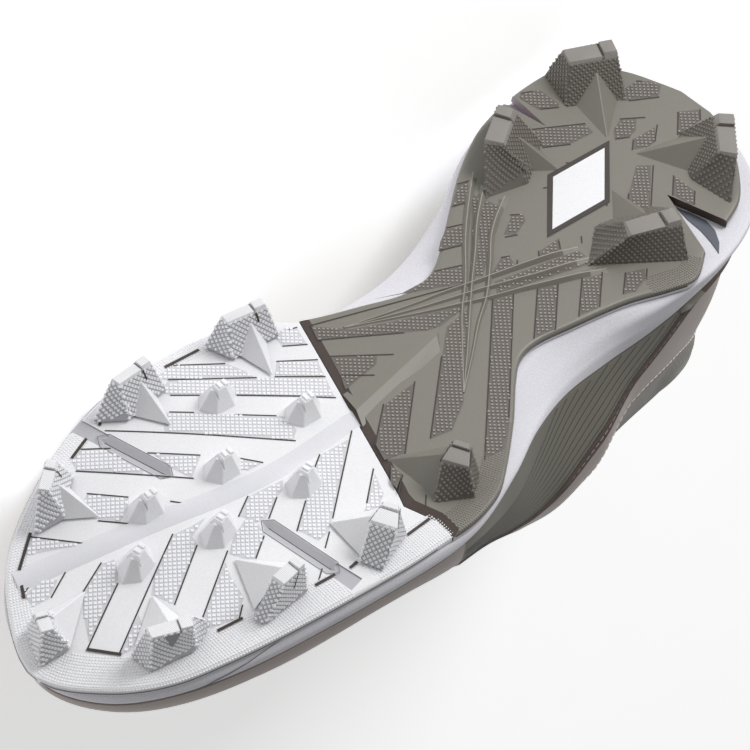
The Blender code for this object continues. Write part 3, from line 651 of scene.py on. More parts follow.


# Tread in plan: outlines of the waffle fields and ends of the thin grooves, drawn as dark lines of painted
# shade

REAR_WAFFLE = (
    ((4.8, 16.8), (9.2, 14.4), (17.6, 19.8), (19.5, 21.2), (17, 24), (9.3, 23.2), (6, 20.5)),
    ((3.6, 2), (9.3, 6), (17, 0.2), (14, -1.2), (7, -0.8)),
    ((21.5, 13), (25.5, 16.3), (30.5, 14.8), (33, 12.3), (29.3, 9.6), (25.5, 10)),
    ((20, 6.8), (29, 8.2), (32.3, 5.6), (27.5, 2.9), (24.7, 2.8)),
    ((35.2, 22.5), (50.5, 32.8), (53.5, 29.5), (52.3, 24.8), (45, 20.2), (36, 18.5)),
    ((35, 33.5), (36.2, 32.6), (41.5, 36.3), (42.3, 43.5), (40.3, 44.6), (35, 41.5)),
    ((33, -2.5), (36.5, 0.5), (46.5, -5), (50, -7.5), (50, -11), (47.7, -14.3)),
    ((31, -10.3), (37.3, -15.3), (36.2, -21.5), (35.4, -22), (31, -18.6)),
    ((50, 10.8), (50.5, 14.5), (52.3, 15.8), (58, 17.5), (63.5, 17.5), (64.5, 13.6), (58, 10.2)),
    ((48.5, 3), (60, 4.5), (63.8, 0), (62.5, -4.5), (57, -4.5)),
    ((76.5, -2.5), (84.5, -1.8), (87, -3.3), (82.5, -5.2), (79.5, -5.8)),
    ((77.5, 11.5), (80, 13.5), (88, 10), (85.3, 7.5), (79, 9)),
    ((79.5, 31), (83.5, 32.5), (89.5, 29), (91.3, 27.9), (85.5, 25.5)),
    ((94, 19.5), (99.3, 23.3), (104.5, 21), (107.5, 19), (99.5, 15.3)),
    ((106, 10), (114.5, 14.4), (120, 14), (128, 15.2), (137, 19.8), (111, 5.4)),
    ((117, -1), (126, 3.5), (140, 10.5), (150, 16), (157.8, 24.6), (160.2, 19.5), (139, 4.7), (133, 0.5),
     (129, -1)),
    ((116, -2), (128, -2.5), (137.5, -9.2), (151, -19), (163, -27.3), (156, -29.5), (146, -25), (133, -14)),
    ((77.5, -20.5), (83.8, -17.8), (95.3, -26.3), (88.5, -28.2)),
    ((90.7, -14.2), (96.6, -11), (111.8, -22.8), (104.3, -24.8)),
    ((103.7, -7.8), (109.7, -4.8), (157, -42.8), (150, -44.5), (140, -37.8)),
    ((151, -10.3), (157, -10), (164, -10), (176.3, -18.2), (178.5, -23.5), (172.3, -25.8)),
    ((178.5, -26), (183, -30), (183.5, -32.8), (178.6, -30.3)),
    ((151.5, 4), (162, 12.8), (165, 6.2), (167.8, 1.5), (154, 2)),
    ((66.5, -28), (72.3, -25), (79, -30), (75.5, -31.8), (69.7, -30.8)),
    ((93.3, 3), (95.5, 4.5), (104, 1.5), (98, -0.5), (94.5, -0.8)),
    ((80, 17), (83, 27), (108, 6), (105, 3.5)),
    ((76, -16), (76, -9.5), (104, -0.5), (107, -4)),
)
FORE_WAFFLE = (
    ((160.8, 27.5), (163, 29.8), (168, 29.5), (169, 25.6), (163, 21.3)),
    ((165.3, 15), (174.5, 22.6), (179, 19.2), (168.2, 9.4)),
    ((168.3, 9), (179, 18.9), (183.3, 22.3), (202.8, 39.2), (207, 38), (206, 35), (199, 28.5), (192, 21.8),
     (178.5, 8.8), (171.7, 2)),
    ((185.5, 31.5), (197.5, 42), (205, 42.5), (202.5, 39.3), (183.3, 22.8), (184, 27)),
    ((187.5, 7.5), (197.5, 17.5), (205.5, 26), (212, 32), (216.5, 27), (205, 13.8), (192, -0.3),
     (188.5, 1.5)),
    ((204.2, 0), (208, 5.8), (212, 4.5), (209, 1)),
    ((215.3, 14), (224, 24.5), (224, 17), (222.3, 10.5)),
    ((230, 22), (231.5, 33.5), (237, 39.7), (241.5, 39.3), (242.7, 36), (231, 21.5)),
    ((229.3, 4.8), (232.2, 9.4), (235, 9.2), (232.5, 6)),
    ((239.2, 18.8), (246, 28.4), (249.5, 27), (249.3, 20), (246, 15), (241, 17)),
    ((257, 17), (265.8, 30.8), (271, 27.8), (266, 24)),
    ((270, 15.5), (273, 19), (279.5, 19.3), (280, 15), (275.5, 13.3)),
    ((255.5, 8), (258.8, 9.6), (268, 7.2), (272.5, 3), (277.5, -4.5), (260, 2.2), (257.5, 4.5)),
    ((229, -1.5), (234, -0.5), (239, 1.2), (252, -4), (256.5, -7.5), (254.5, -14), (237, -6.2), (236, -3)),
    ((263, -9), (275, -13.8), (272, -15), (265, -13)),
    ((235.5, -15.5), (252, -23.2), (253, -27), (246, -30.5), (240, -27), (238, -20)),
    ((220, -9.5), (228, -11.5), (233, -14.5), (231, -19), (229, -21), (221.5, -17.3), (220.5, -14)),
    ((180, -11), (190, -9.3), (195.5, -11.7), (204.8, -17.5), (214, -23), (212.5, -29.5), (208, -29.3),
     (204, -26.8)),
    ((204.5, -8), (215.3, -5.3), (222, -8.2), (220, -13), (217.5, -14), (210, -10.9), (207, -10.5)),
    ((183.5, -24.5), (193, -30.2), (196, -31.5), (192, -33.5), (187, -31)),
)
REAR_GROOVES = (
    (77, -20, 88, -28.3), (83.5, -17.5, 95.5, -26.5), (90.5, -14, 104.5, -25), (96.5, -11, 112, -23),
    (103.5, -7.5, 140, -37.5), (109.5, -4.5, 157, -43), (137.5, -9, 163, -27.3), (150.5, -10, 172.5, -26),
    (163.5, -9.5, 176.5, -18), (178.5, -30.5, 184, -34), (179, -40, 182, -42.5), (72, -25, 79, -30),
    (66, -28.5, 69.5, -31), (79, 31, 83.5, 33), (85.5, 25.5, 91.5, 28), (92, 20, 99, 23.5),
    (99, 15, 107.5, 19), (105.5, 10, 114.5, 14.5), (111, 5, 158, 25), (139, 4.5, 160, 19.5),
    (147.5, 1, 162, 13), (157.5, -0.5, 165, 6), (3.5, 2, 7, -1), (9.5, 6, 17, 0), (18.5, 7, 24.5, 3),
    (29, 8, 32.5, 5.5), (32.5, -3, 47.5, -14.5), (47, -5.2, 50, -7.5), (31, -10, 37.5, -15),
    (31, -18.5, 35.5, -22), (48, 2.5, 56, -4), (60, 2, 64, -1), (9, 14, 17.5, 19.5), (8, 22, 9.3, 23.4),
    (19, 11.5, 25.5, 16.5), (29, 9.5, 33, 12), (35, 22.5, 50.5, 33), (36, 32.5, 41, 36),
    (37, 42.5, 40.5, 44.5), (45, 20, 52.5, 25), (48.5, 13, 52, 16), (58, 10, 65, 14), (85, 7, 88.5, 9),
    (78.5, 12, 80.7, 13.8), (85, -1.5, 87.2, -3.5), (77.5, -3, 80, -6), (71, -6.5, 73, -8.5),
    (93, 3, 95.5, 4.5), (92.5, 0.5, 94.5, -1),
)
FORE_GROOVES = (
    (160.5, 27.5, 163, 28.5), (163, 21, 169, 25.5), (165, 15, 174.5, 22.8), (168, 9.2, 179, 19.2),
    (171.5, 1.8, 177, 7.3), (178.5, 9, 192, 22), (183, 22.5, 202.5, 39.5), (186, 32.3, 198, 42.5),
    (189, 9, 197.5, 17.5), (199, 28.5, 206, 35), (205.5, 26, 210.5, 31), (191.5, -1, 228, 39.5),
    (204, 0, 208, 6), (215, 14.2, 225, 25.5), (222, 10, 243, 36), (229, 5, 232, 9.5), (231, 34, 237, 40),
    (239, 19, 246, 28.5), (242.5, 9.5, 250, 20), (256, 15.5, 266, 31), (267, 15.5, 275, 13),
    (275, 20.5, 280, 19.5), (258.5, 10, 268, 7.5), (177, -9.5, 204, -27), (182.5, -23, 193, -30),
    (190, -9, 195, -11.5), (210, -11, 217, -14.5), (205, -17.5, 214.5, -23), (208, -29.5, 213, -32.5),
    (215.5, -5, 222.5, -8), (222, -17.5, 229, -21), (218.5, -36.5, 222, -38.5), (239, 1.5, 275, -13.5),
    (260, 2, 279, -5.5), (237, -6, 254.5, -14.5), (232.5, -13.5, 252, -23), (242, -28.5, 246, -31),
)
RIM_GROOVES = (
    (188, 41, 200, 43.2), (227, 42.3, 228, 41.7), (233.5, 41.3, 241, 39.7), (265, 31.5, 275, 25.7),
    (277, 23, 280, 18.5), (274.5, -14, 279.5, -5.5), (245, -31.5, 252.5, -29), (217.5, -40.5, 224, -39),
    (210, -42, 213, -42), (184, -46, 193, -45.5),
)
# Ribs that cross at the waist, three for each arm, from the heel to where they meet
WAIST_RIBS = (
    ((76, 20), (90, 13), (100, 5), (110, -2.5), (120, -8), (130, -14.5), (143, -22.5)),
    ((76, 28), (90, 19), (100, 11), (110, 3.5), (120, -4.5), (130, -12.5), (143, -22.5)),
    ((76, 33), (90, 23), (100, 15), (110, 6), (120, -1.5), (130, -10.5), (143, -22.5)),
    ((75, -8.5), (90, -3), (100, 0.5), (110, 4), (120, 7.5), (130, 10.5), (151, 17.7)),
    ((75, -14), (90, -8.5), (100, -4), (110, 0.5), (120, 4.5), (130, 8.5), (151, 17.7)),
    ((75, -20), (90, -13), (100, -8), (110, -3.5), (120, 1.5), (130, 6.5), (151, 17.7)),
)
SPINE = ((172, -7), (200, -5), (220, 0), (240, 8), (260, 16), (278, 24))
# Ramp behind the join: plan place and height of its corners, then its faces
RAMP = (
    (130, -1, -0.3), (138, 4.5, -0.3), (147.5, 1, -0.3), (157.5, -0.5, -0.3), (169.5, 1, -0.3),
    (133, -3, 0.8), (171.5, -6, 0.7), (137.5, -9, -0.3), (150.5, -10, -0.3), (163.5, -9.5, -0.3),
    (174, -11, -0.3),
)
RAMP_FACES = (
    (0, 1, 5), (1, 2, 5), (2, 3, 5), (3, 6, 5), (3, 4, 6), (0, 5, 7), (7, 5, 8), (8, 5, 9), (9, 5, 6),
    (9, 6, 10),
)

# Waffle: pitch and turn of its lattice, and base, top and height of its bumps
WAFFLE_PITCH = 1.275
WAFFLE_TURN = 44.0
WAFFLE_MARGIN = 0.45
FEWEST_BUMPS = 4
STUD_MARGIN = 0.12
FINE_PITCH = 0.85
BED_HEIGHT = 0.05
GROOVE_HEIGHT = 0.12
GROOVE_WIDTH = 0.42
RIM_GROOVE_WIDTH = 0.9
GREY_BUMP = (0.40, 0.27, 0.30)
WHITE_BUMP = (0.50, 0.36, 0.28)
FINE_BUMP = (0.30, 0.17, 0.14)


def from_arrays(name, places, faces, made):
    """Many small faces as one mesh."""
    mesh = bpy.data.meshes.new(name)
    mesh.from_pydata(to_frame(places).tolist(), [], np.asarray(faces).tolist())
    mesh.materials.append(made)
    piece = bpy.data.objects.new(name, mesh)
    bpy.context.scene.collection.objects.link(piece)
    return piece


def ribbon(name, one, other, made):
    """Strip of faces between two lines of points."""
    count = len(one)
    k = np.arange(count - 1)
    faces = np.stack((k, k + 1, k + count + 1, k + count), 1)
    return from_arrays(name, np.concatenate((one, other)), faces, made)


def over_plate(rise):
    """Level at a rise over the plates' underside, as a function of x."""
    return lambda x: plate_under(x) + rise


def below_plate(plan, drop, step):
    """Points at a drop below a plate's underside."""
    plan = np.asarray(plan, float)
    return points(plan[..., 0], plan[..., 1], plate_under(plan[..., 0]) + step - drop)


def field_bed(outline, step, made):
    """Thin bed under a waffle field, in slices across the shoe."""
    corners = np.array(outline, float)
    after = np.roll(corners, -1, axis=0)
    spread = np.arange(corners[:, 0].min(), corners[:, 0].max(), 3.0)
    low = []
    high = []
    for x in np.unique(np.concatenate((corners[:, 0], spread))):
        run = after[:, 0] - corners[:, 0]
        hit = (np.minimum(corners[:, 0], after[:, 0]) <= x) & (x <= np.maximum(corners[:, 0], after[:, 0]))
        hit &= run != 0
        y = corners[hit, 1] + (x - corners[hit, 0]) / run[hit] * (after[hit, 1] - corners[hit, 1])
        low.append((x, y.min()))
        high.append((x, y.max()))
    low, high = (below_plate(line, BED_HEIGHT, step) for line in (low, high))
    return ribbon("bed", high, low, made)


def inside(plan, outline, margin):
    """Which plan points lie inside an outline, a margin away from its sides."""
    corners = np.array(outline, float)
    after = np.roll(corners, -1, axis=0)
    x = plan[:, :1]
    y = plan[:, 1:]
    run = np.where(after[:, 1] == corners[:, 1], 1e-9, after[:, 1] - corners[:, 1])
    crossing = corners[:, 0] + (y - corners[:, 1]) / run * (after[:, 0] - corners[:, 0])
    crossed = ((corners[:, 1] > y) != (after[:, 1] > y)) & (x < crossing)
    side = after - corners
    share = ((plan[:, None] - corners) * side).sum(-1) / (side * side).sum(-1)
    nearest = corners + np.clip(share, 0, 1)[..., None] * side
    gap = np.linalg.norm(plan[:, None] - nearest, axis=-1).min(1)
    return (crossed.sum(1) % 2 == 1) & (gap > margin)


def lattice(outline, pitch, turn, margin=WAFFLE_MARGIN):
    """Points of a turned square lattice inside an outline."""
    corners = np.array(outline, float)
    middle = (corners.min(0) + corners.max(0)) / 2
    reach = math.ceil(np.linalg.norm(np.ptp(corners, axis=0)) / pitch / 2) + 1
    steps = np.arange(-reach, reach + 1) * pitch
    a, b = (line.ravel() for line in np.meshgrid(steps, steps))
    cos, sin, _ = level_direction(turn)
    plan = middle + np.stack((a * cos - b * sin, a * sin + b * cos), 1)
    return plan[inside(plan, outline, margin)]


def bumps(centres, first, second, size, made):
    """Small four-sided bumps at centres, with two directions of the surface for each."""
    base, top, height = size
    away = unit(np.cross(first, second))
    rings = []
    for half, rise in ((base, -0.05), (top, height)):
        for a, b in ((-1, -1), (1, -1), (1, 1), (-1, 1)):
            rings.append(centres + half * (a * first + b * second) + rise * away)
    sides = np.array(((0, 1, 5, 4), (1, 2, 6, 5), (2, 3, 7, 6), (3, 0, 4, 7), (4, 5, 6, 7)))
    faces = (8 * np.arange(len(centres))[:, None, None] + sides).reshape(-1, 4)
    return from_arrays("bumps", np.stack(rings, 1).reshape(-1, 3), faces, made)


def plate_bumps(plan, turn, size, step, made):
    """Bumps on a plate's underside, turned to its slope."""
    small = 0.5
    slope = (plate_under(plan[:, 0] + small) - plate_under(plan[:, 0] - small)) / (2 * small)
    cos, sin, _ = level_direction(turn)
    first = unit(points(cos, sin, slope * cos))
    second = unit(points(sin, -cos, slope * sin))
    return bumps(below_plate(plan, BED_HEIGHT, step), first, second, size, made)


def waffle(fields, step, size, ground_made, bump_made, bare=None):
    """Fields of bumps on thin beds, with no bumps inside the bare outline and no field of few bumps."""
    pieces = []
    for outline in fields:
        plan = lattice(outline, WAFFLE_PITCH, WAFFLE_TURN)
        if bare is not None:
            plan = plan[~inside(plan, bare, 0)]
        if len(plan) >= FEWEST_BUMPS:
            pieces.append(field_bed(outline, step, ground_made))
            pieces.append(plate_bumps(plan, WAFFLE_TURN, size, step, bump_made))
    return pieces


def line_strip(ends, width, drop, step, made):
    """Thin flat line on a plate's underside between two plan points."""
    start = np.array(ends[:2], float)
    end = np.array(ends[2:], float)
    count = max(2, math.ceil(np.linalg.norm(end - start) / 3) + 1)
    middle = start + (end - start) * np.linspace(0, 1, count)[:, None]
    along = unit(end - start)
    beside = np.array((-along[1], along[0])) * width / 2
    low, high = (below_plate(line, drop, step) for line in (middle - beside, middle + beside))
    return ribbon("line", high, low, made)


RIDGE_ROUND = ((-1, -0.3), (-0.75, 0.3), (-0.35, 0.85), (0, 1), (0.35, 0.85), (0.75, 0.3), (1, -0.3))
RIDGE_SHARP = ((-1, -0.3), (-0.12, 1), (0.12, 1), (1, -0.3))
RIDGE_FADE = 0.12
# Profile of the lighter strip on a rib's crest, a painted highlight
RIDGE_CREST_HIGHLIGHT = ((-1, 0.9), (-0.6, 1), (0.6, 1), (1, 0.9))


def ridge(corners, halves, heights, profile, step, made):
    """Raised ridge along a smooth plan line, with its half width and height at both ends."""
    line = smooth_line(np.array(corners, float), 5)
    share = np.linspace(0, 1, len(line))
    half = halves[0] + (halves[1] - halves[0]) * share
    height = (heights[0] + (heights[1] - heights[0]) * share) * ease(share / RIDGE_FADE)
    beside = beside_line(line)
    profile = np.array(profile, float)

    def place(u, v):
        i = step_at(u, len(line) - 1)
        across, up = profile[step_at(v, len(profile) - 1)].T
        plan = line[i] + beside[i] * (across * half[i])[:, None]
        return below_plate(plan, up * height[i], step)

    piece = grid("ridge", len(line) - 1, len(profile) - 1, place, made)
    in_edit_mode(piece, bpy.ops.mesh.flip_normals)
    return piece


# Sole plates

PLATE_ALONG = 150
PLATE_ACROSS = 40
RIM_STEPS = 7


def plate_slab(name, edges, step, made, side_made):
    """Sole plate with rounded lower rims and upright sides, through level sections across the shoe."""
    first = edges["x"][0]
    last = edges["x"][-1]
    turn = np.linspace(0, math.pi / 2, RIM_STEPS)
    shares = np.linspace(0, 1, PLATE_ACROSS)[1:-1]
    side = np.concatenate(([0], 0 * turn, 0 * shares, 0 * turn + 1, [1, 0]))
    rim_inset = RIM * (1 - np.cos(turn))
    rim_rise = step + RIM * (1 - np.sin(turn))
    inset = np.concatenate(([0], rim_inset, 0 * shares, -rim_inset[::-1], [0, 0]))
    flat = np.concatenate(([0], 0 * turn, shares, 0 * turn, [0, 0]))
    rise = np.concatenate(([PLATE], rim_rise, 0 * shares + step, rim_rise[::-1], [PLATE, PLATE]))
    across = len(side) - 1

    def place(u, v):
        k = step_at(v, across)
        spread = 0.5 - 0.5 * np.cos(math.pi * u)
        x = first + (last - first) * (0.5 * u + 0.5 * spread)
        medial = curve(edges, "medial", x)
        lateral = curve(edges, "lateral", x)
        inner = medial - RIM + (lateral + RIM - medial + RIM) * flat[k]
        edge = np.where(side[k] == 0, medial, lateral) - inset[k]
        y = np.where(flat[k] > 0, inner, edge)
        return points(x, y, plate_under(x) + rise[k])

    slab = grid(name, PLATE_ALONG, across, place, made, side_made)
    rows = np.arange(PLATE_ALONG * across) // PLATE_ALONG
    slab.data.polygons.foreach_set("material_index", ((rows == 0) | (rows == across - 2)).astype(int))
    close(slab)
    return slab


def join_cutter(side, made):
    """Block over everything behind (side -1) or ahead of (side 1) the line between the plates."""
    outline = [(x - side * GAP / 2, y) for x, y in PLATE_JOIN]
    far = LENGTH + BEYOND_SHOE if side > 0 else -BEYOND_SHOE
    outline += [(far, PLATE_JOIN[-1][1]), (far, PLATE_JOIN[0][1])]
    return prism("cutter", outline, lambda x: 0 * x - BEYOND_SHOE, lambda x: 0 * x + BEYOND_SHOE, made)


CHAMFER = ((-2.9, 0.0), (2.0, -1.7), (2.0, 8.0), (-2.9, 8.0), (-2.9, 0.0))
CHAMFER_STEPS = 40


def chamfer_cutter(made):
    """Wedge along the rear plate's edge at the join: back from the join, and drop below the plate."""
    corners = np.array(PLATE_JOIN, float)
    run = run_along(corners)

    def place(u, v):
        back, drop = np.array(CHAMFER)[step_at(v, len(CHAMFER) - 1)].T
        x = np.interp(u * run[-1], run, corners[:, 0]) + back
        y = np.interp(u * run[-1], run, corners[:, 1])
        return below_plate(np.stack((x, y), 1), drop, 0)

    piece = grid("chamfer", CHAMFER_STEPS, len(CHAMFER) - 1, place, made)
    close(piece)
    return piece


def stud_rows(studs):
    return [dict(zip(studs, row)) for row in zip(*studs.values())]


def stud_corners(stud):
    """Four corners of a stud's tip and of its root, in the order of the tip's outline."""
    along = level_direction(stud["heading"])
    across = left_of(along)
    inner_side = across @ level_direction(stud["buttress"])
    half = stud["tip"] / 2
    corners = ((-half, -stud["rear"] / 2), (half, -stud["front"] / 2),
               (half, stud["front"] / 2), (-half, stud["rear"] / 2))
    middle = points(stud["x"], stud["y"], tip_level(stud["x"]))
    tip = []
    root = []
    for a, b in corners:
        point = middle + a * along + b * across
        point[2] += ground(point[0]) - ground(middle[0])
        tip.append(point)
        corner = ("inner" if b * inner_side > 0 else "rim") + ("_front" if a > 0 else "_rear")
        foot = point + math.copysign(1, a) * stud[corner] * along
        foot += math.copysign(1, b) * stud[corner + "_side"] * across
        foot[2] = plate_under(foot[0]) + STUD_ROOT
        root.append(foot)
    return np.array(tip), np.array(root)


STUD_BEVEL = 0.5
STUD_CUTS = 6
# Pads of a stud's tip: where each starts and ends along it, and its share of the pads' height
STUD_PADS = ((0.0, 0.28, 1.0), (0.32, 1.0, 0.4))
# Notch between the pads: start, end and share of the pads' height, drawn in painted shade
STUD_NOTCH = (0.27, 0.33, 0.15)
PAD_HEIGHT = 1.2
PAD_BEVEL = 0.2
PAD_SINK = 0.05
STUD_BUMP_SINK = 0.25


def mix(start, end, share):
    return start + (end - start) * share


def pad_level(tip, root):
    """Corners of a stud's body under its pads."""
    return tip + (root - tip) * PAD_HEIGHT / (root[:, 2:] - tip[:, 2:])


def stud_body(stud, made, pad_made, notch_shade_made):
    tip, root = stud_corners(stud)
    low = pad_level(tip, root)
    pieces = [block("stud", low, root, STUD_BEVEL, made, STUD_CUTS)]
    for start, end, height in (*STUD_PADS, STUD_NOTCH):
        levels = []
        for level in (mix(low, tip, height), mix(low, root, PAD_SINK)):
            levels.append([mix(level[0], level[1], start), mix(level[0], level[1], end),
                           mix(level[3], level[2], end), mix(level[3], level[2], start)])
        # The thin notch between the pads is painted shade.
        sharp = height == STUD_NOTCH[2]
        pieces.append(block("pad", *levels, 0 if sharp else PAD_BEVEL, notch_shade_made if sharp else pad_made))
    return pieces


def inner_face(stud):
    """Side of a stud that faces its ridge, and u on it for a share along the tip."""
    facing = left_of(level_direction(stud["heading"])) @ level_direction(stud["buttress"]) > 0
    return (2, lambda share: 1 - share) if facing else (0, lambda share: share)


def stud_side_point(tip, root, side, u, v):
    """Points of one side of a stud: u along its tip and v from the tip to the root."""
    after = (side + 1) % 4
    u = np.asarray(u, float)[..., None]
    v = np.asarray(v, float)[..., None]
    return mix(mix(tip[side], tip[after], u), mix(root[side], root[after], u), v)


def stud_side_axes(tip, root, side):
    """Directions along a stud's side and from its tip to its root."""
    after = (side + 1) % 4
    first = unit(tip[after] - tip[side])
    down = root[side] + root[after] - tip[side] - tip[after]
    return first, unit(down - first * (down @ first))


def stud_waffle(stud, sides, size, made):
    """Bumps on the sides of a stud."""
    tip, root = stud_corners(stud)
    tip = pad_level(tip, root)
    pieces = []
    for side in sides:
        after = (side + 1) % 4
        first, second = stud_side_axes(tip, root, side)
        outline = [
            ((corner - tip[side]) @ first, (corner - tip[side]) @ second)
            for corner in (tip[side], tip[after], root[after], root[side])
        ]
        plan = lattice(outline, WAFFLE_PITCH, WAFFLE_TURN, STUD_MARGIN)
        v = plan[:, 1] / outline[2][1]
        left = mix(outline[0][0], outline[3][0], v)
        right = mix(outline[1][0], outline[2][0], v)
        centres = stud_side_point(tip, root, side, (plan[:, 0] - left) / (right - left), v)
        centres = centres[centres[:, 2] < plate_under(centres[:, 0])]
        first, second = unit(first + second), unit(second - first)
        base, top, height = size
        pieces.append(bumps(centres - STUD_BUMP_SINK * np.cross(first, second), first, second,
                            (base, top, height + STUD_BUMP_SINK), made))
    return pieces


def stud_patch(stud, side, corners, lift, made):
    """Thin patch on a stud's side between four (u, v) corners."""
    tip, root = stud_corners(stud)
    tip = pad_level(tip, root)
    u, v = np.array(corners, float).T
    first, second = stud_side_axes(tip, root, side)
    places = stud_side_point(tip, root, side, u, v) + lift * np.cross(first, second)
    return from_arrays("patch", places, [(0, 1, 2, 3)], made)


def stud_ridge(stud, made):
    """Ridge that props a stud from inside: a three-sided cone primitive."""
    middle = points(stud["x"], stud["y"], 0)
    inward = level_direction(stud["buttress"])
    beside = left_of(inward) * stud["half"]
    floor = plate_under(stud["x"])
    head = middle + inward * stud["head"] - RIDGE_BACK * stud["tip"] * level_direction(stud["heading"])
    head[2] = floor - stud["height"] * (floor - tip_level(stud["x"]))
    near = middle + inward * stud["rear"]
    feet = [near - beside, near + beside, middle + inward * stud["reach"]]
    for foot in feet:
        foot[2] = plate_under(foot[0]) + STUD_ROOT
    piece = primitive(bpy.ops.mesh.primitive_cone_add, "ridge", made, vertices=3, radius1=1, depth=2)
    high = points_of(piece)[:, 2] > 0
    places = np.empty((4, 3))
    places[high] = head
    places[~high] = feet
    move_points(piece, to_frame(places))
    in_edit_mode(piece, face_out)
    bevel_edges(piece, BUTTRESS_BEVEL, 1)
    return piece


INNER_NOTCH = (0.16, 0.40, 3.2)
INNER_PADS = ((-0.44, -0.24), (-0.14, 0.08))
INNER_PAD_HALF = 0.42
INNER_PAD_RISE = 0.5
INNER_PAD_SINK = 0.6


def inner_stud(stud, made, pad_made):
    """Small six-sided stud inside the forefoot: a notched cylinder primitive with pads on its tip."""
    along = level_direction(stud["heading"])
    across = left_of(along)
    middle = points(stud["x"], stud["y"], 0)

    def ring(offsets, height):
        places = np.array([middle + a * along + b * across for a, b in offsets])
        places[:, 2] = plate_under(places[:, 0]) + PLATE_STEP - height
        return places

    piece = primitive(bpy.ops.mesh.primitive_cylinder_add, "inner_stud", made,
                      vertices=len(INNER_CORNERS), radius=1, depth=2)
    low = points_of(piece)[:, 2] < 0
    places = np.empty((len(low), 3))
    for chosen, (length, width), height in ((low, INNER_TIP, INNER_HEIGHT), (~low, INNER_BASE, -STUD_ROOT)):
        places[chosen] = ring([(a * length, b * width) for a, b in INNER_CORNERS], height)
    move_points(piece, to_frame(places))
    in_edit_mode(piece, face_out)
    bevel_edges(piece, BUTTRESS_BEVEL, 1)
    start, end, depth = INNER_NOTCH
    length, width = INNER_TIP
    wide = INNER_BASE[1]
    mouth = [(start * length, -wide), (end * length, -wide), (end * length, wide), (start * length, wide)]
    bottom = (start + end) / 2 * length
    floor = [(bottom - 0.1, -wide), (bottom + 0.1, -wide), (bottom + 0.1, wide), (bottom - 0.1, wide)]
    cut(piece, block("notch", ring(mouth, INNER_HEIGHT + 1), ring(floor, INNER_HEIGHT - depth), 0, pad_made))
    pieces = [piece]
    for start, end in INNER_PADS:
        half = INNER_PAD_HALF * width
        pad = [(start * length, -half), (end * length, -half), (end * length, half), (start * length, half)]
        low = ring(pad, INNER_HEIGHT + INNER_PAD_RISE)
        high = ring(pad, INNER_HEIGHT - INNER_PAD_SINK)
        pieces.append(block("pad", low, high, PAD_BEVEL, pad_made))
    return pieces


CHANNEL_SPLITS = (0.67, 0.82)
CHANNEL_SHALLOW = 0.4
CHANNEL_OUTLINE = 0.22
CHANNEL_BOTTOM = 0.1
CHANNEL_NECK = 0.9
CHANNEL_LIP = 0.15


def flex_channel(slab, ends, share):
    """Cut one flex channel, deep inside and shallow at the rim, and draw its outline and middle line; its
    floor, outline and middle line are painted shade.
    """
    start = np.array((*ends[:2], 0.0))
    end = np.array((*ends[2:], 0.0))
    split = mix(start, end, share)
    along = unit(end - start) * CHANNEL_WIDTH / 2
    beside = left_of(along)

    def lens(inset, slant, half):
        """Six-sided outline, pointed at both ends."""
        first = start + inset * along
        last = split - inset * along
        lean = slant * along
        side = half * beside
        corners = (
            first, first + lean + side, last - lean + side,
            last, last - lean - side, first + lean - side,
        )
        return [corner[:2] for corner in corners]

    neck = split - along
    side = CHANNEL_NECK * beside
    shallow = [corner[:2] for corner in (neck + side, end + beside, end - beside, neck - side)]
    floor = over_plate(PLATE_STEP + CHANNEL_SHALLOW)
    cut(slab, prism("channel", shallow, over_plate(-PLATE), floor, CHANNEL_PAINTED_SHADE))
    deep = lens(0, 1, 1)
    mouth = over_plate(PLATE_STEP - CHANNEL_LIP)
    floor = over_plate(PLATE_STEP + CHANNEL_DEPTH)
    cut(slab, prism("channel", deep, mouth, floor, CHANNEL_PAINTED_SHADE, lens(1, 0.5, CHANNEL_BOTTOM)))
    pieces = []
    for here, there in zip(deep, deep[1:] + deep[:1]):
        pieces.append(line_strip((*here, *there), CHANNEL_OUTLINE, GROOVE_HEIGHT, PLATE_STEP, RIM_PAINTED_SHADE))
    middle = (*mix(start, split, 0.1)[:2], *mix(start, split, 0.9)[:2])
    pieces.append(line_strip(middle, CHANNEL_OUTLINE, BED_HEIGHT - CHANNEL_DEPTH, PLATE_STEP, PAINTED_SHADE_LINE))
    return pieces


def rim_line(edges, first, last, sides):
    """Plan line along a plate's rim from first to last x: medial, lateral, or both and round the toe."""
    x = mix(first, last, np.sin(np.linspace(0, math.pi / 2, 240)))
    lines = []
    if "medial" in sides:
        lines.append(np.stack((x, curve(edges, "medial", x)), 1))
    if "lateral" in sides:
        lines.append(np.stack((x, curve(edges, "lateral", x)), 1)[::-1])
    return np.concatenate(lines)


def even(line, pitch, start=0.0):
    """Points a pitch apart along a line."""
    run = run_along(line)
    places = np.arange(start, run[-1], pitch)
    return np.stack([np.interp(places, run, line[:, k]) for k in range(line.shape[1])], 1)


# Fine grain of the rims: first and last x, the sides, and the band's width on the medial and lateral side
FORE_GRAIN = ((168, 293.4, "medial lateral", 6.0, 10.0),)
REAR_GRAIN = ((140, 181, "lateral", 0.0, 8.0), (50, 72, "lateral", 0.0, 6.5))
# The grain's first row, the y between which its width changes, and its distance from the channels
GRAIN_FIRST = 0.35
GRAIN_BLEND = (-5, 20)
GRAIN_CLEAR = 0.3


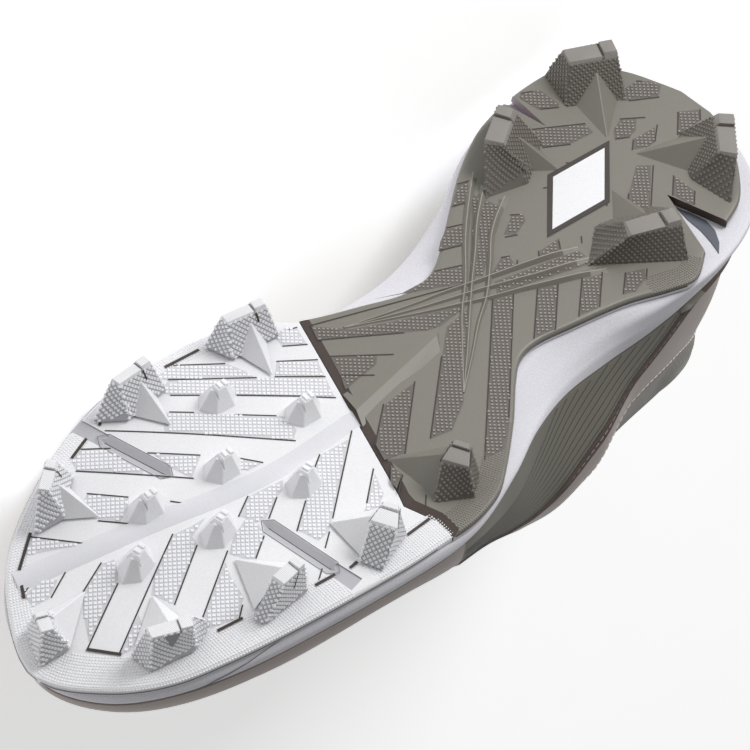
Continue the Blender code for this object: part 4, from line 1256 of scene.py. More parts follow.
def rim_grain(bands, edges, step, fields, made):
    """Fine bumps in rows along a plate's rim, outside the waffle fields."""
    chosen = []
    for first, last, sides, medial, lateral in bands:
        line = rim_line(edges, first, last, sides)
        inward = -beside_line(line)
        for k, row in enumerate(np.arange(GRAIN_FIRST, max(medial, lateral), FINE_PITCH)):
            plan = even(line + row * inward, FINE_PITCH, FINE_PITCH / 2 * (k % 2))
            plan = plan[row < np.interp(plan[:, 1], GRAIN_BLEND, (lateral, medial))]
            round_rise = RIM - math.sqrt(max(0, RIM ** 2 - max(0, RIM - row) ** 2))
            chosen.append(np.column_stack((plan, np.full(len(plan), round_rise))))
    plan = np.concatenate(chosen)
    for outline in fields:
        plan = plan[~inside(plan[:, :2], outline, 0)]
    for ends in FLEX_CHANNELS:
        start = np.array(ends[:2], float)
        along = unit(np.array(ends[2:], float) - start)
        aside = np.abs((plan[:, :2] - start) @ np.array((-along[1], along[0])))
        plan = plan[aside > CHANNEL_WIDTH / 2 + GRAIN_CLEAR]
    return plate_bumps(plan[:, :2], WAFFLE_TURN, FINE_BUMP, step + plan[:, 2], made)


# Notch and dark line on the rim's side of two lateral studs, and dark lines along a tip, as (u, v) corners;
# notch and lines are painted shade
TOE_NOTCH = ((0.31, 0.0), (0.7, 0.0), (0.54, 0.42), (0.5, 0.42))
FRONT_LINE = ((0.33, 0.0), (0.38, 0.0), (0.45, 0.42), (0.41, 0.42))
TIP_LINE = ((0.0, 0.0), (0.95, 0.0), (0.95, 0.05), (0.0, 0.05))
# Line of painted shade on the inner face of the medial studs: start, end and depth
MEDIAL_LINE = (0.28, 0.325, 0.3)
PATCH_LIFT = 0.35
NOTCH_LIFT = 0.32
RIM_SHADE_WIDTH = 0.5
LINE_LIFT = 0.12
# Half widths and heights of the ridges at both ends
SPINE_SIZE = ((3.2, 4.0), (0.5, 0.5))
RIB_SIZE = ((1.7, 0.5), (1.5, 0.3))
CREST_HIGHLIGHT_SIZE = ((0.24, 0.12), (1.52, 0.32))
SOLE_SMOOTH_DEG = 17


def rim_shade(edges, first, last, sides, height, made):
    """Thin line of painted shade along a plate's side, at a height over its underside."""
    line = even(rim_line(edges, first, last, sides), 2.0)
    line = line + LINE_LIFT * beside_line(line)
    level = plate_under(line[:, 0]) + height
    low = points(line[:, 0], line[:, 1], level - RIM_SHADE_WIDTH / 2)
    high = points(line[:, 0], line[:, 1], level + RIM_SHADE_WIDTH / 2)
    return ribbon("rim_shade", low, high, made)


def forefoot_sole():
    slab = plate_slab("forefoot_slab", FORE_EDGE, PLATE_STEP, WHITE_PLASTIC, FOAM)
    cut(slab, join_cutter(-1, PAINTED_SHADE_LINE))
    pieces = [slab]
    for ends, share in zip(FLEX_CHANNELS, CHANNEL_SPLITS):
        pieces += flex_channel(slab, ends, share)
    pieces += waffle(FORE_WAFFLE, PLATE_STEP, WHITE_BUMP, WHITE_GROUND_PAINTED_SHADE, WHITE_DOT)
    # Grooves are thin raised lines of painted shade.
    for ends in FORE_GROOVES:
        pieces.append(line_strip(ends, GROOVE_WIDTH, GROOVE_HEIGHT, PLATE_STEP, PAINTED_SHADE_LINE))
    for ends in RIM_GROOVES:
        pieces.append(line_strip(ends, RIM_GROOVE_WIDTH, 3 * GROOVE_HEIGHT, PLATE_STEP, PAINTED_SHADE_LINE))
    pieces.append(ridge(SPINE, *SPINE_SIZE, RIDGE_ROUND, PLATE_STEP, WHITE_SPINE))
    pieces.append(rim_grain(FORE_GRAIN, FORE_EDGE, PLATE_STEP, FORE_WAFFLE, WHITE_DOT))
    pieces.append(rim_shade(FORE_EDGE, 188, 293.4, "medial lateral", PLATE_STEP + RIM, RIM_PAINTED_SHADE))
    for stud in stud_rows(FORE_STUDS):
        pieces += stud_body(stud, WHITE_STUD_PAINTED_SHADE, WHITE_TIP, WHITE_NOTCH_PAINTED_SHADE)
        pieces += stud_waffle(stud, range(4), WHITE_BUMP, WHITE_DOT)
        pieces.append(stud_ridge(stud, WHITE_PLASTIC))
        if stud["y"] > 0:
            side, u_at = inner_face(stud)
            start, end, depth = MEDIAL_LINE
            line = [(u_at(start), 0.0), (u_at(end), 0.0), (u_at(end), depth), (u_at(start), depth)]
            pieces.append(stud_patch(stud, side, line if side == 0 else line[::-1], PATCH_LIFT, PAINTED_SHADE_LINE))
    toe, front, ball = stud_rows(FORE_STUDS)[-3:]
    pieces.append(stud_patch(toe, 0, TOE_NOTCH, NOTCH_LIFT, WHITE_NOTCH_PAINTED_SHADE))
    pieces.append(stud_patch(front, 0, FRONT_LINE, PATCH_LIFT, PAINTED_SHADE_LINE))
    pieces += [stud_patch(ball, side, TIP_LINE, PATCH_LIFT, PAINTED_SHADE_LINE) for side in (0, 2)]
    for stud in stud_rows(INNER_STUDS):
        pieces += inner_stud(stud, WHITE_PLASTIC, WHITE_DOT)
    sole = smooth(join("forefoot_sole", pieces), SOLE_SMOOTH_DEG)
    return rides(sole, "white_plate", "forefoot_plate")


INLAY_MIDDLE = (57.0, 6.5)
INLAY_HALVES = (20.0, 9.0)
INLAY_TURN = -16.0
INLAY_EDGE = 1.5
INLAY_RISE = 1.0
INLAY_EDGE_RISE = 0.4


def lozenge(rise, grow, made):
    """Low four-sided pyramid let into the heel: a cone primitive."""
    piece = primitive(bpy.ops.mesh.primitive_cone_add, "lozenge", made, vertices=4, radius1=1, depth=2)
    flat = points_of(piece)
    along = level_direction(INLAY_TURN)
    across = left_of(along)
    places = points(*INLAY_MIDDLE, 0) + flat[:, 1:2] * (INLAY_HALVES[0] + 2 * grow) * along
    places += flat[:, :1] * (INLAY_HALVES[1] + grow) * across
    places[:, 2] = plate_under(places[:, 0]) - np.where(flat[:, 2] > 0, rise, 2 * GROOVE_HEIGHT)
    move_points(piece, to_frame(places))
    in_edit_mode(piece, face_out)
    return piece


def heel_inlay():
    """Plain white lozenge on the heel, with a dark edge."""
    return [lozenge(INLAY_EDGE_RISE, INLAY_EDGE, PAINTED_SHADE_LINE), lozenge(INLAY_RISE, 0, WHITE_PLASTIC)]


def inlay_outline():
    along = level_direction(INLAY_TURN)[:2] * (INLAY_HALVES[0] + 3 * INLAY_EDGE)
    across = left_of(level_direction(INLAY_TURN))[:2] * (INLAY_HALVES[1] + 2 * INLAY_EDGE)
    return [np.array(INLAY_MIDDLE) + corner for corner in (along, across, -along, -across)]


def rear_sole():
    slab = plate_slab("rear_slab", REAR_EDGE, 0.0, GREY_PLASTIC, FOAM)
    cut(slab, join_cutter(1, BROWN_EDGE_AND_SHADE))
    cut(slab, chamfer_cutter(BROWN_EDGE_AND_SHADE))
    for outline, made in zip(HEEL_NOTCHES, (BROWN_EDGE_AND_SHADE, MAUVE)):
        cut(slab, prism("notch", outline, over_plate(-PLATE), over_plate(2 * PLATE), made))
    pieces = [slab] + heel_inlay()
    pieces += waffle(REAR_WAFFLE, 0, GREY_BUMP, GREY_GROUND, GREY_DOT, inlay_outline())
    for ends in REAR_GROOVES:
        pieces.append(line_strip(ends, GROOVE_WIDTH, GROOVE_HEIGHT, 0, PAINTED_SHADE_LINE))
    for corners in WAIST_RIBS:
        pieces.append(ridge(corners, *RIB_SIZE, RIDGE_SHARP, 0, GREY_PLASTIC))
        # Thin lighter strip on each rib's crest: a painted highlight.
        pieces.append(ridge(corners, *CREST_HIGHLIGHT_SIZE, RIDGE_CREST_HIGHLIGHT, 0, GREY_CREST_HIGHLIGHT))
    x, y, height = np.array(RAMP, float).T
    ramp = points(x, y, plate_under(x) - height)
    pieces.append(from_arrays("ramp", ramp, RAMP_FACES, GREY_PLASTIC))
    pieces.append(rim_grain(REAR_GRAIN, REAR_EDGE, 0, REAR_WAFFLE, GREY_GRAIN))
    pieces.append(rim_shade(REAR_EDGE, 60, 183, "lateral", RIM + 0.2, BROWN_EDGE_AND_SHADE))
    for stud in stud_rows(REAR_STUDS):
        pieces += stud_body(stud, GREY_SHADE, GREY_TIP, GREY_SHADE)
        pieces += stud_waffle(stud, range(4), GREY_BUMP, GREY_STUD_DOT)
        pieces.append(stud_ridge(stud, GREY_PLASTIC))
    middle = stud_rows(REAR_STUDS)[0]
    pieces += [stud_patch(middle, side, TIP_LINE, PATCH_LIFT, PAINTED_SHADE_LINE) for side in (0, 2)]
    sole = smooth(join("rear_sole", pieces), SOLE_SMOOTH_DEG)
    return rides(sole, "grey_plate", "rear_plate")


# Midsole

RING_STEPS = 10
# Leaves laid on the foam under the heel notches; the lateral one is painted shadow in the notch's recess
NOTCH_LEAVES = (
    ((38, -17.5), (36.4, -22), (35.2, -27), (36.2, -31.5), (39, -35.5), (42.5, -38.2), (40.8, -33.5),
     (39.6, -28.5), (39.2, -23)),
    ((44.2, 33), (43.2, 38), (43, 44), (45.2, 46), (47.2, 44), (46.8, 38), (45.6, 33)),
)
LEAF_RISE = 2.0
LEAF_DROP = 0.25
# Line along the middle of the sole: share of the foot's length, and its start
MIDDLE_SHARE = 0.86
MIDDLE_START = 20.0
MIDSOLE_INSIDE = 9.0
MIDSOLE_RADII = (1.5, 1.6, 0.9, 0.8)
ROUND_STEPS = 6


def rounded(corners, radii, steps):
    """Points along a line of corners, each inner corner rounded by its radius."""
    line = [corners[0]]
    for before, corner, after, radius in zip(corners, corners[1:], corners[2:], radii):
        reach_back = np.minimum(radius, 0.45 * np.linalg.norm(before - corner, axis=-1))[..., None]
        reach_on = np.minimum(radius, 0.45 * np.linalg.norm(after - corner, axis=-1))[..., None]
        start = corner + reach_back * unit(before - corner)
        end = corner + reach_on * unit(after - corner)
        for t in np.linspace(0, 1, steps):
            line.append((1 - t) ** 2 * start + 2 * t * (1 - t) * corner + t * t * end)
    line.append(corners[-1])
    return np.stack(line)


def spine_line(s):
    """Line along the middle of the sole, on which both sides of a grid close."""
    both = (foot_line(s) + foot_line(PLACES - s)) / 2
    return points(MIDDLE_SHARE * both[..., 0] + MIDDLE_START, 0, 0)


def midsole_lines(s):
    foot = foot_line(s)
    out = outward(s)
    under = at(s, "under")[..., None]
    cove = at(s, "cove")[..., None]
    base = foot + (under - cove) * out
    lower = foot + under * out
    middle = foot + (under / 2 + MIDSOLE_BULGE) * out
    top = foot + MIDSOLE_EDGE * out
    base[..., 2] = plate_under(base[..., 0]) + PLATE + GAP
    lower[..., 2] = plate_under(lower[..., 0]) + PLATE + GAP + at(s, "under_rise")
    top[..., 2] = foot_bed(foot[..., 0])
    middle[..., 2] = lower[..., 2] + MIDSOLE_MIDDLE * (top[..., 2] - lower[..., 2])
    inner = top - MIDSOLE_INSIDE * out
    spine = spine_line(s)
    crest = spine.copy()
    spine[..., 2] = plate_under(spine[..., 0]) + PLATE + GAP
    crest[..., 2] = foot_bed(crest[..., 0])
    lines = rounded([spine, base, lower, middle, top, inner], MIDSOLE_RADII, ROUND_STEPS)
    return np.concatenate((lines, crest[None]))


# Line on the foam at the lateral toe: places round the perimeter, shares up the foam's side, and the
# rows of the foam's grid at four even shares
TOE_LINE = ((28.6, 0.12), (29.0, 0.3), (29.4, 0.55), (29.8, 0.85), (30.0, 1.0))
TOE_LINE_ROWS = (7, 13, 19, 25)
TOE_LINE_WIDTH = 0.5


def toe_line():
    """Line of painted shade where the toe's foam laps over the side's."""
    s, share = smooth_line(np.array(TOE_LINE), 6).T
    lines = midsole_lines(s)
    levels = np.interp(share, (0, 0.33, 0.66, 1), TOE_LINE_ROWS)
    low = np.floor(levels).astype(int)
    high = np.minimum(low + 1, len(lines) - 1)
    k = np.arange(len(s))
    place = mix(lines[low, k], lines[high, k], (levels - low)[:, None]) + LINE_LIFT * outward(s)
    ahead = unit(np.gradient(place, axis=0))
    beside = np.cross(outward(s), ahead) * TOE_LINE_WIDTH / 2
    return ribbon("toe_line", place - beside, place + beside, RIM_PAINTED_SHADE)


def midsole():
    rows = midsole_lines(np.zeros(1)).shape[0] - 1

    def place(u, v):
        lines = midsole_lines(u * PLACES)
        return lines[step_at(v, rows), np.arange(len(u))]

    piece = grid("midsole_foam", PLACES * RING_STEPS, rows, place, FOAM)
    in_edit_mode(piece, weld, face_out)
    pieces = [piece, toe_line()]
    for outline, made in zip(NOTCH_LEAVES, (SLATE_PAINTED_SHADOW, MAUVE)):
        low = over_plate(PLATE + GAP - LEAF_DROP)
        pieces.append(prism("leaf", outline, low, over_plate(PLATE + LEAF_RISE), made))
    return rides(smooth(join("midsole_foam", pieces), 40), "white_foam", "midsole")


# Upper

PANEL_ROWS = 18
BAND_ROWS = 10
SIDE_ROWS = 34
BAND_BELOW = 3.2
BAND_ABOVE = 3.4
BAND_LEAST = 0.006
BAND_BULGE = 0.6
EYESTAY_STEP = 0.5
EYESTAY_SHARE = 0.84
EYESTAY_ENDS = (2.75, 8.6)
EYESTAY_EASE = 0.3
EYESTAY_EDGE = 0.02
EYESTAY_STITCHES = (0.865, 0.985)
# Dark ribbed lens of the quarter and the binding over it: first and last x of the sole line under them
LENS = (44.0, 178.0)
BINDING_START = 20.0
RIBS = 10
RIB_FIRST = 1.6
RIB_SPACING = 2.8
RIB_WIDTH = 0.32
RIB_LIFT = 0.06
# Ribs draw together towards the ball: share of their spacing, first x, and length
RIB_CLOSING = 0.45
RIB_CLOSE_X = 120.0
RIB_CLOSE_LENGTH = 45.0
# Swell of the lateral quarter: height, and x and share of the wall where it starts and ends
SWELL = 5.0
SWELL_X = (72.0, 97.0, 130.0, 178.0)
SWELL_SHARE = (0.05, 0.55, 0.66, 1.0)
# Padded collar: first place and easing of its swell, the swell, the shares of the wall where it starts
# and ends, and the width and rows of its band of cloth
COLLAR_PLACE = 11.6
COLLAR_EASE = 0.6
COLLAR_SWELL = 1.6
COLLAR_SHARE = (0.76, 0.86, 0.95, 1.06)
COLLAR_BAND = 15.0
COLLAR_ROWS = 10
COLLAR_STITCHES = 0.03
COLLAR_LINE_LIFT = 0.1
# Soft creases over the vamp: x, depth and half width
VAMP_CREASES = ((188.0, 0.5, 3.0), (199.0, 0.7, 3.5), (211.0, 0.4, 3.0))
CREASE_LEAN = 0.12
CREASE_SHARE = 0.3


def between(value, limits):
    """1 between the middle limits, easing to 0 at the outer ones."""
    start, full, fading, end = limits
    return ease((value - start) / (full - start)) * ease((end - value) / (end - fading))


def in_lens(s, first=LENS[0]):
    x = at(np.asarray(s, float), "foot_x")
    return (x > first) & (x < LENS[1])


def band_limits(s):
    """Shares of the wall where the binding over the seam starts and ends."""
    length = wall_length(s)
    low = np.maximum(seam_share(s) - BAND_BELOW / length, BAND_LEAST)
    return low, np.maximum(seam_share(s) + BAND_ABOVE / length, 2 * BAND_LEAST)


def upper_offset(s, share):
    """How far the outside of the upper stands off the wall."""
    low, high = band_limits(s)
    in_band = np.clip((share - low) / (high - low), 0, 1)
    offset = PANEL_STEP * (1 - ease(in_band))
    offset = offset + BAND_BULGE * in_lens(s, BINDING_START) * np.abs(np.sin(2 * math.pi * in_band))
    side = np.minimum(s, PLACES - s)
    first, last = EYESTAY_ENDS
    along = ease((side - first) / EYESTAY_EASE) * ease((last - side) / EYESTAY_EASE)
    offset = offset + EYESTAY_STEP * along * ease((share - EYESTAY_SHARE) / EYESTAY_EDGE)
    offset = offset + COLLAR_SWELL * ease((side - COLLAR_PLACE) / COLLAR_EASE) * between(share, COLLAR_SHARE)
    lateral = s > PLACES / 2
    offset = offset + SWELL * lateral * between(at(s, "foot_x"), SWELL_X) * between(share, SWELL_SHARE)
    place = wall(s, share)
    for x, depth, half in VAMP_CREASES:
        over = np.exp(-((place[..., 0] - x + CREASE_LEAN * np.abs(place[..., 1])) / half) ** 2)
        offset = offset - depth * over * ease(share / CREASE_SHARE - 1)
    return offset


def on_upper(s, share, lift):
    return off_wall(s, share, upper_offset(s, share) + lift)


def collar_low(s):
    """Share of the wall at the lower edge of the collar's band."""
    return 1 - COLLAR_BAND / wall_length(s)


def row_share(s, row):
    """Share of the wall at a row of the upper's grid."""
    low, high = band_limits(s)
    edge = collar_low(s)
    over_band = (row - PANEL_ROWS) / BAND_ROWS
    over_side = (row - PANEL_ROWS - BAND_ROWS) / (SIDE_ROWS - COLLAR_ROWS)
    over_collar = (row - PANEL_ROWS - BAND_ROWS - SIDE_ROWS) / COLLAR_ROWS + 1
    side = np.where(over_side <= 1, high + (edge - high) * over_side, edge + (1 - edge) * over_collar)
    band = np.where(over_side <= 0, low + (high - low) * over_band, side)
    return np.where(row <= PANEL_ROWS, low * row / PANEL_ROWS, band)


def upper_place(u, v):
    s = u * PLACES
    row = np.round(v * (PANEL_ROWS + BAND_ROWS + SIDE_ROWS))
    place = on_upper(s, row_share(s, row), 0)
    place[row == 0, 2] = foot_bed(place[row == 0, 0]) + GAP
    return place


def upper():
    along = PLACES * RING_STEPS
    across = PANEL_ROWS + BAND_ROWS + SIDE_ROWS
    piece = grid("upper_shell", along, across, upper_place, RIBBED, BINDING, TAUPE, COLLAR, LINING)
    faces = np.arange(along * across)
    rows = faces // along
    s = (faces % along + 0.5) / along * PLACES
    zones = (rows >= PANEL_ROWS).astype(int) + (rows >= PANEL_ROWS + BAND_ROWS)
    zones[(zones == 0) & ~in_lens(s)] = 1
    zones[~in_lens(s, BINDING_START)] = 2
    zones[(np.minimum(s, PLACES - s) > EYESTAY_ENDS[1]) & (rows >= across - COLLAR_ROWS)] = 3
    piece.data.polygons.foreach_set("material_index", zones)
    in_edit_mode(piece, weld)
    apply(piece, "SOLIDIFY", thickness=WALL * MM, offset=-1, material_offset=4, material_offset_rim=0)
    punch_eyelets(piece)
    return rides(smooth(piece, 40), "upper", "upper")


# Lines and stitches of the upper

STITCH_PITCH = 2.6
STITCH_SHAPE = (0.26, 0.18, 0.28)
STITCH_LENGTH = 4.2
# Shares of the wall above which ribs and teeth are drawn
LOWEST_RIB = 0.004
LOWEST_TEETH = 0.02
TOOTH_PITCH = 1.3
TOOTH_HEIGHT = 0.7
TOOTH_HALF = 0.75
TOOTH_LIFT = 0.15
TOOTH_OVERLAP = 0.1
LINE_PITCH = 0.5


def surface_line(s, share):
    """Even points along a line on the upper, with its directions along, away from and beside it."""
    fine = np.linspace(0, len(s) - 1, 12 * len(s))
    s = np.interp(fine, np.arange(len(s)), s)
    share = np.interp(fine, np.arange(len(share)), share)
    line = even(np.concatenate((on_upper(s, share, 0), np.stack((s, share), 1)), 1), LINE_PITCH)
    place = line[:, :3]
    ahead = unit(np.gradient(place, axis=0))
    away = wall_normal(line[:, 3], line[:, 4])
    return place, ahead, away, np.cross(away, ahead)


def surface_strip(s, share, width, lift, made):
    """Thin strip along a line on the upper."""
    place, _, away, beside = surface_line(s, share)
    middle = place + lift * away
    half = width / 2 * beside
    return ribbon("strip", middle - half, middle + half, made)


def stitches(s, share, made):
    """Row of stitches along a line on the upper."""
    place, ahead, _, beside = surface_line(s, share)
    chosen = np.arange(2, len(place) - 2, round(STITCH_PITCH / LINE_PITCH))
    return bumps(place[chosen], STITCH_LENGTH * ahead[chosen], beside[chosen], STITCH_SHAPE, made)


def teeth(s, share, made):
    """Ragged lower edge of the binding."""
    place, ahead, away, beside = surface_line(s, share)
    chosen = np.arange(2, len(place) - 2, round(TOOTH_PITCH / LINE_PITCH))
    down = np.where(beside[chosen, 2:] > 0, -1, 1) * beside[chosen]
    base = place[chosen] + TOOTH_LIFT * away[chosen] - TOOTH_OVERLAP * down
    half = TOOTH_HALF * ahead[chosen]
    corners = np.stack((base - half, base + half, base + TOOTH_HEIGHT * down), 1)
    return from_arrays("teeth", corners.reshape(-1, 3), np.arange(3 * len(chosen)).reshape(-1, 3), made)


def quarter_places(side):
    """Places round the perimeter along one quarter, from heel to ball."""
    x = PERIMETER["foot_x"][:PLACES // 2 + 1]
    limits = np.interp(LENS, x[::-1], np.arange(PLACES // 2 + 1)[::-1])
    s = np.linspace(limits[0] - 0.05, limits[1] + 0.05, 60)
    return s if side > 0 else PLACES - s


def upper_lines():
    """Ribs of the quarters, teeth of the binding, and the stitches of binding, eyestay and collar."""
    pieces = []
    for side in (1, -1):
        s = quarter_places(side)
        low, high = band_limits(s)
        x = at(s, "foot_x")
        closing = RIB_CLOSING * ease((x - RIB_CLOSE_X) / RIB_CLOSE_LENGTH)
        spacing = RIB_SPACING * (1 - closing) / wall_length(s)
        for k in range(RIBS):
            share = low - RIB_FIRST / wall_length(s) - k * spacing
            shown = share > LOWEST_RIB
            if shown.sum() > 2:
                pieces.append(surface_strip(s[shown], share[shown], RIB_WIDTH, RIB_LIFT, RIB_LINE))
        shown = low > LOWEST_TEETH
        pieces.append(teeth(s[shown], low[shown], BINDING))
        pieces.append(stitches(s[shown], (low + high)[shown] / 2, THREAD))
        eyestay = np.linspace(EYESTAY_ENDS[0] + EYESTAY_EASE, EYESTAY_ENDS[1] - EYESTAY_EASE, 40)
        eyestay = eyestay if side > 0 else PLACES - eyestay
        for share in EYESTAY_STITCHES:
            pieces.append(stitches(eyestay, np.full(len(eyestay), share), THREAD))
    collar = np.linspace(EYESTAY_ENDS[1], PLACES - EYESTAY_ENDS[1], 140)
    pieces.append(surface_strip(collar, collar_low(collar), RIB_WIDTH, COLLAR_LINE_LIFT, RIB_LINE))
    pieces.append(stitches(collar, collar_low(collar) - COLLAR_STITCHES, THREAD))
    return rides(smooth(join("upper_lines", pieces), 30), "upper")


# Eyelets and lace

# Eyelets: pairs, first and last place, share of the wall, radius of the hole, and thickness of the ring
EYELET_PAIRS = 6
EYELET_FIRST = 3.2
EYELET_LAST = 8.2
EYELET_SHARE = 0.91
EYELET_HOLE = 2.4
EYELET_RING = 0.7
# Lace: section, width in a hole, clearance, height of its runs over the throat as a share of their span,
# and lifts and shares of the wall on its way over and under the rims
LACE_WIDTH = 6.5
LACE_THICK = 1.5
LACE_IN_HOLE = 3.6
LACE_CLEAR = 0.5
LACE_CROWN = 0.17
LACE_CROSSING = 0.6
LACE_BAR_LIFT = 0.8
LACE_BAR_SHARES = (0.99, 0.95)
LACE_OVER = 0.9
LACE_UNDER = 0.4
LACE_FIRST_UNDER = 0.3
LACE_LEAN = 0.25
LACE_NEAR_RIM = 0.96
THROAT_UP = np.array((0.25, 0, 0.97))
EYELETS = np.linspace(EYELET_FIRST, EYELET_LAST, EYELET_PAIRS)


def eyelet_places():
    """Places of the eyelets round the perimeter, medial and lateral."""
    return np.concatenate((EYELETS, PLACES - EYELETS))


def rotation_to(normal):
    """Turn that lays a piece's z axis along a normal of the shoe."""
    return Vector(TURN @ normal).to_track_quat("Z", "Y").to_euler()


def punch_eyelets(shell):
    """Cut the eyelet holes through the upper with cylinder primitives."""
    cutters = []
    for s in eyelet_places():
        cutters.append(primitive(
            bpy.ops.mesh.primitive_cylinder_add, "eyelet_cutter", EYELET,
            vertices=24, radius=EYELET_HOLE * MM, depth=5 * WALL * MM,
            location=to_frame(off_wall(s, EYELET_SHARE, -WALL / 2)),
            rotation=rotation_to(wall_normal(s, EYELET_SHARE)),
        ))
    cut(shell, join("eyelet_cutters", cutters))


def eyelet_rings():
    rings = []
    for s in eyelet_places():
        for offset in (EYESTAY_STEP, -WALL):
            rings.append(primitive(
                bpy.ops.mesh.primitive_torus_add, "eyelet_ring", EYELET,
                major_segments=32, minor_segments=10,
                major_radius=(EYELET_HOLE + EYELET_RING / 2) * MM, minor_radius=EYELET_RING * MM,
                location=to_frame(off_wall(s, EYELET_SHARE, offset)),
                rotation=rotation_to(wall_normal(s, EYELET_SHARE)),
            ))
    piece = join("eyelets", rings)
    bpy.ops.object.transform_apply(location=True, rotation=True, scale=True)
    return rides(smooth(piece, 60), "lace")


def through_eyelet(s):
    """Stops of the lace up through one eyelet: under the wall, in the hole and out of it."""
    return [(s, EYELET_SHARE, offset) for offset in (-WALL - LACE_CLEAR, -WALL / 2, LACE_CLEAR)]


def lace_stops(first_side):
    """Stops of one half of the lace, from the bottom bar to the top eyelet: place, share and offset, or
    over the throat between two places, with a share of the crown and a lift."""
    stops = []
    side = first_side
    for k in range(EYELET_PAIRS):
        here = EYELETS[k] if side > 0 else PLACES - EYELETS[k]
        if k == 0:
            stops.append(("over", EYELETS[0], PLACES - EYELETS[0], 1.0, 0.0))
            stops += [(here, share, LACE_CLEAR + LACE_BAR_LIFT) for share in LACE_BAR_SHARES]
            stops += through_eyelet(here)[::-1]
        else:
            stops += through_eyelet(here)
        if k == EYELET_PAIRS - 1:
            break
        there = PLACES - EYELETS[k + 1] if side > 0 else EYELETS[k + 1]
        lean = LACE_LEAN * side * (EYELETS[1] - EYELETS[0])
        leaving = LACE_CLEAR + LACE_OVER if k else -WALL - LACE_CLEAR - LACE_FIRST_UNDER
        coming = -WALL - LACE_CLEAR - LACE_UNDER
        lift = LACE_THICK / 2 * first_side * (1 if side == first_side else -1)
        stops += [(here + lean / 2, LACE_NEAR_RIM, leaving), (here + lean, 1.0, leaving)]
        stops.append(("over", here, there, LACE_CROSSING, lift))
        stops += [(there + lean, 1.0, coming), (there + lean / 2, LACE_NEAR_RIM, coming)]
        side = -side
    return stops


def lace_line(first_side):
    """Middle line of one half of the lace, the way its flat side faces, and its width."""
    places = []
    faces = []
    widths = []
    for stop in lace_stops(first_side):
        if stop[0] == "over":
            here, there, crown, lift = stop[1:]
            rims = wall(np.array((here, there)), 1.0)
            span = np.linalg.norm(rims[0] - rims[1])
            places.append(rims.mean(0) + THROAT_UP * (LACE_CROWN * span * crown + lift))
            faces.append(THROAT_UP)
            widths.append(LACE_WIDTH)
        else:
            s, share, offset = stop
            places.append(off_wall(s, share, offset))
            faces.append(wall_normal(s, share))
            widths.append(LACE_IN_HOLE if share == EYELET_SHARE else LACE_WIDTH)
    return smooth_line(places, 6), smooth_line(faces, 6), smooth_line(np.array(widths)[:, None], 6)[:, 0]


LACE_PROFILE = np.array(((-1, 0), (-0.93, 0.6), (-0.7, 1), (0.7, 1), (0.93, 0.6), (1, 0), (0.93, -0.6),
                         (0.7, -1), (-0.7, -1), (-0.93, -0.6), (-1, 0)), float)


def lace_half(first_side):
    line, faces, widths = lace_line(first_side)
    ahead = unit(np.gradient(line, axis=0))
    away = unit(faces - ahead * (faces * ahead).sum(1, keepdims=True))
    beside = np.cross(ahead, away)
    thick = LACE_THICK * (LACE_WIDTH / widths) ** 0.5

    def place(u, v):
        i = step_at(u, len(line) - 1)
        corner = LACE_PROFILE[step_at(v, len(LACE_PROFILE) - 1)]
        return (line[i] + beside[i] * (corner[:, :1] * widths[i, None] / 2)
                + away[i] * (corner[:, 1:] * thick[i, None] / 2))

    piece = grid("lace_half", len(line) - 1, len(LACE_PROFILE) - 1, place, CORD)
    close(piece)
    return piece


def lace():
    piece = join("lace_run", [lace_half(1), lace_half(-1)])
    return rides(smooth(piece, 50), "lace", "lace")


# Tongue, insole and collar pad

# Tongue: thickness, first and last place, crown, centre of its curve, depth under the upper, how far its
# ends reach and round off, and shares of its length beyond the first and last place
TONGUE = 4.0
TONGUE_FIRST = 2.67
TONGUE_LAST = 8.33
TONGUE_CROWN = 0.16
TONGUE_CENTRE = 30.0
TONGUE_UNDER = 2.4
TONGUE_TOE = np.array((9, 0, -5.8))
TONGUE_TOP = np.array((-10, 0, 24.0))
TONGUE_TAPER = np.array((0, 1.0, 0.5))
TONGUE_ROUND = 0.85
TONGUE_FRONT = 0.15
TONGUE_FREE = 0.18
TONGUE_EDGE = 0.35
TONGUE_STEPS = 120
TONGUE_WING = np.linspace(0.84, 1.0, 6)


def tongue_ring(s):
    medial = off_wall(s, TONGUE_WING, -WALL - TONGUE_UNDER)
    lateral = off_wall(PLACES - s, TONGUE_WING, -WALL - TONGUE_UNDER)
    span = np.linalg.norm(medial[-1] - lateral[-1])
    share = np.linspace(0, 1, 12)[1:-1, None]
    height = span * TONGUE_CROWN * (1 - (2 * share - 1) ** 2)
    crown = medial[-1] + (lateral[-1] - medial[-1]) * share + THROAT_UP * height
    outer = np.concatenate((medial, crown, lateral[::-1]))
    centre = (medial[-1] + lateral[-1]) / 2 - THROAT_UP * TONGUE_CENTRE
    around = np.linspace(0, math.pi, len(outer))[:, None]
    swell = TONGUE * (TONGUE_EDGE + (1 - TONGUE_EDGE) * np.sin(around) ** 0.5)
    inner = outer + unit(centre - outer) * swell
    ring = np.concatenate((outer, inner[::-1]))
    return np.concatenate((ring, ring[:1]))


def rounding(share):
    """Share by which a width has shrunk on the way to a rounded end."""
    return 1 - math.sqrt(1 - (TONGUE_ROUND * max(share, 0)) ** 2)


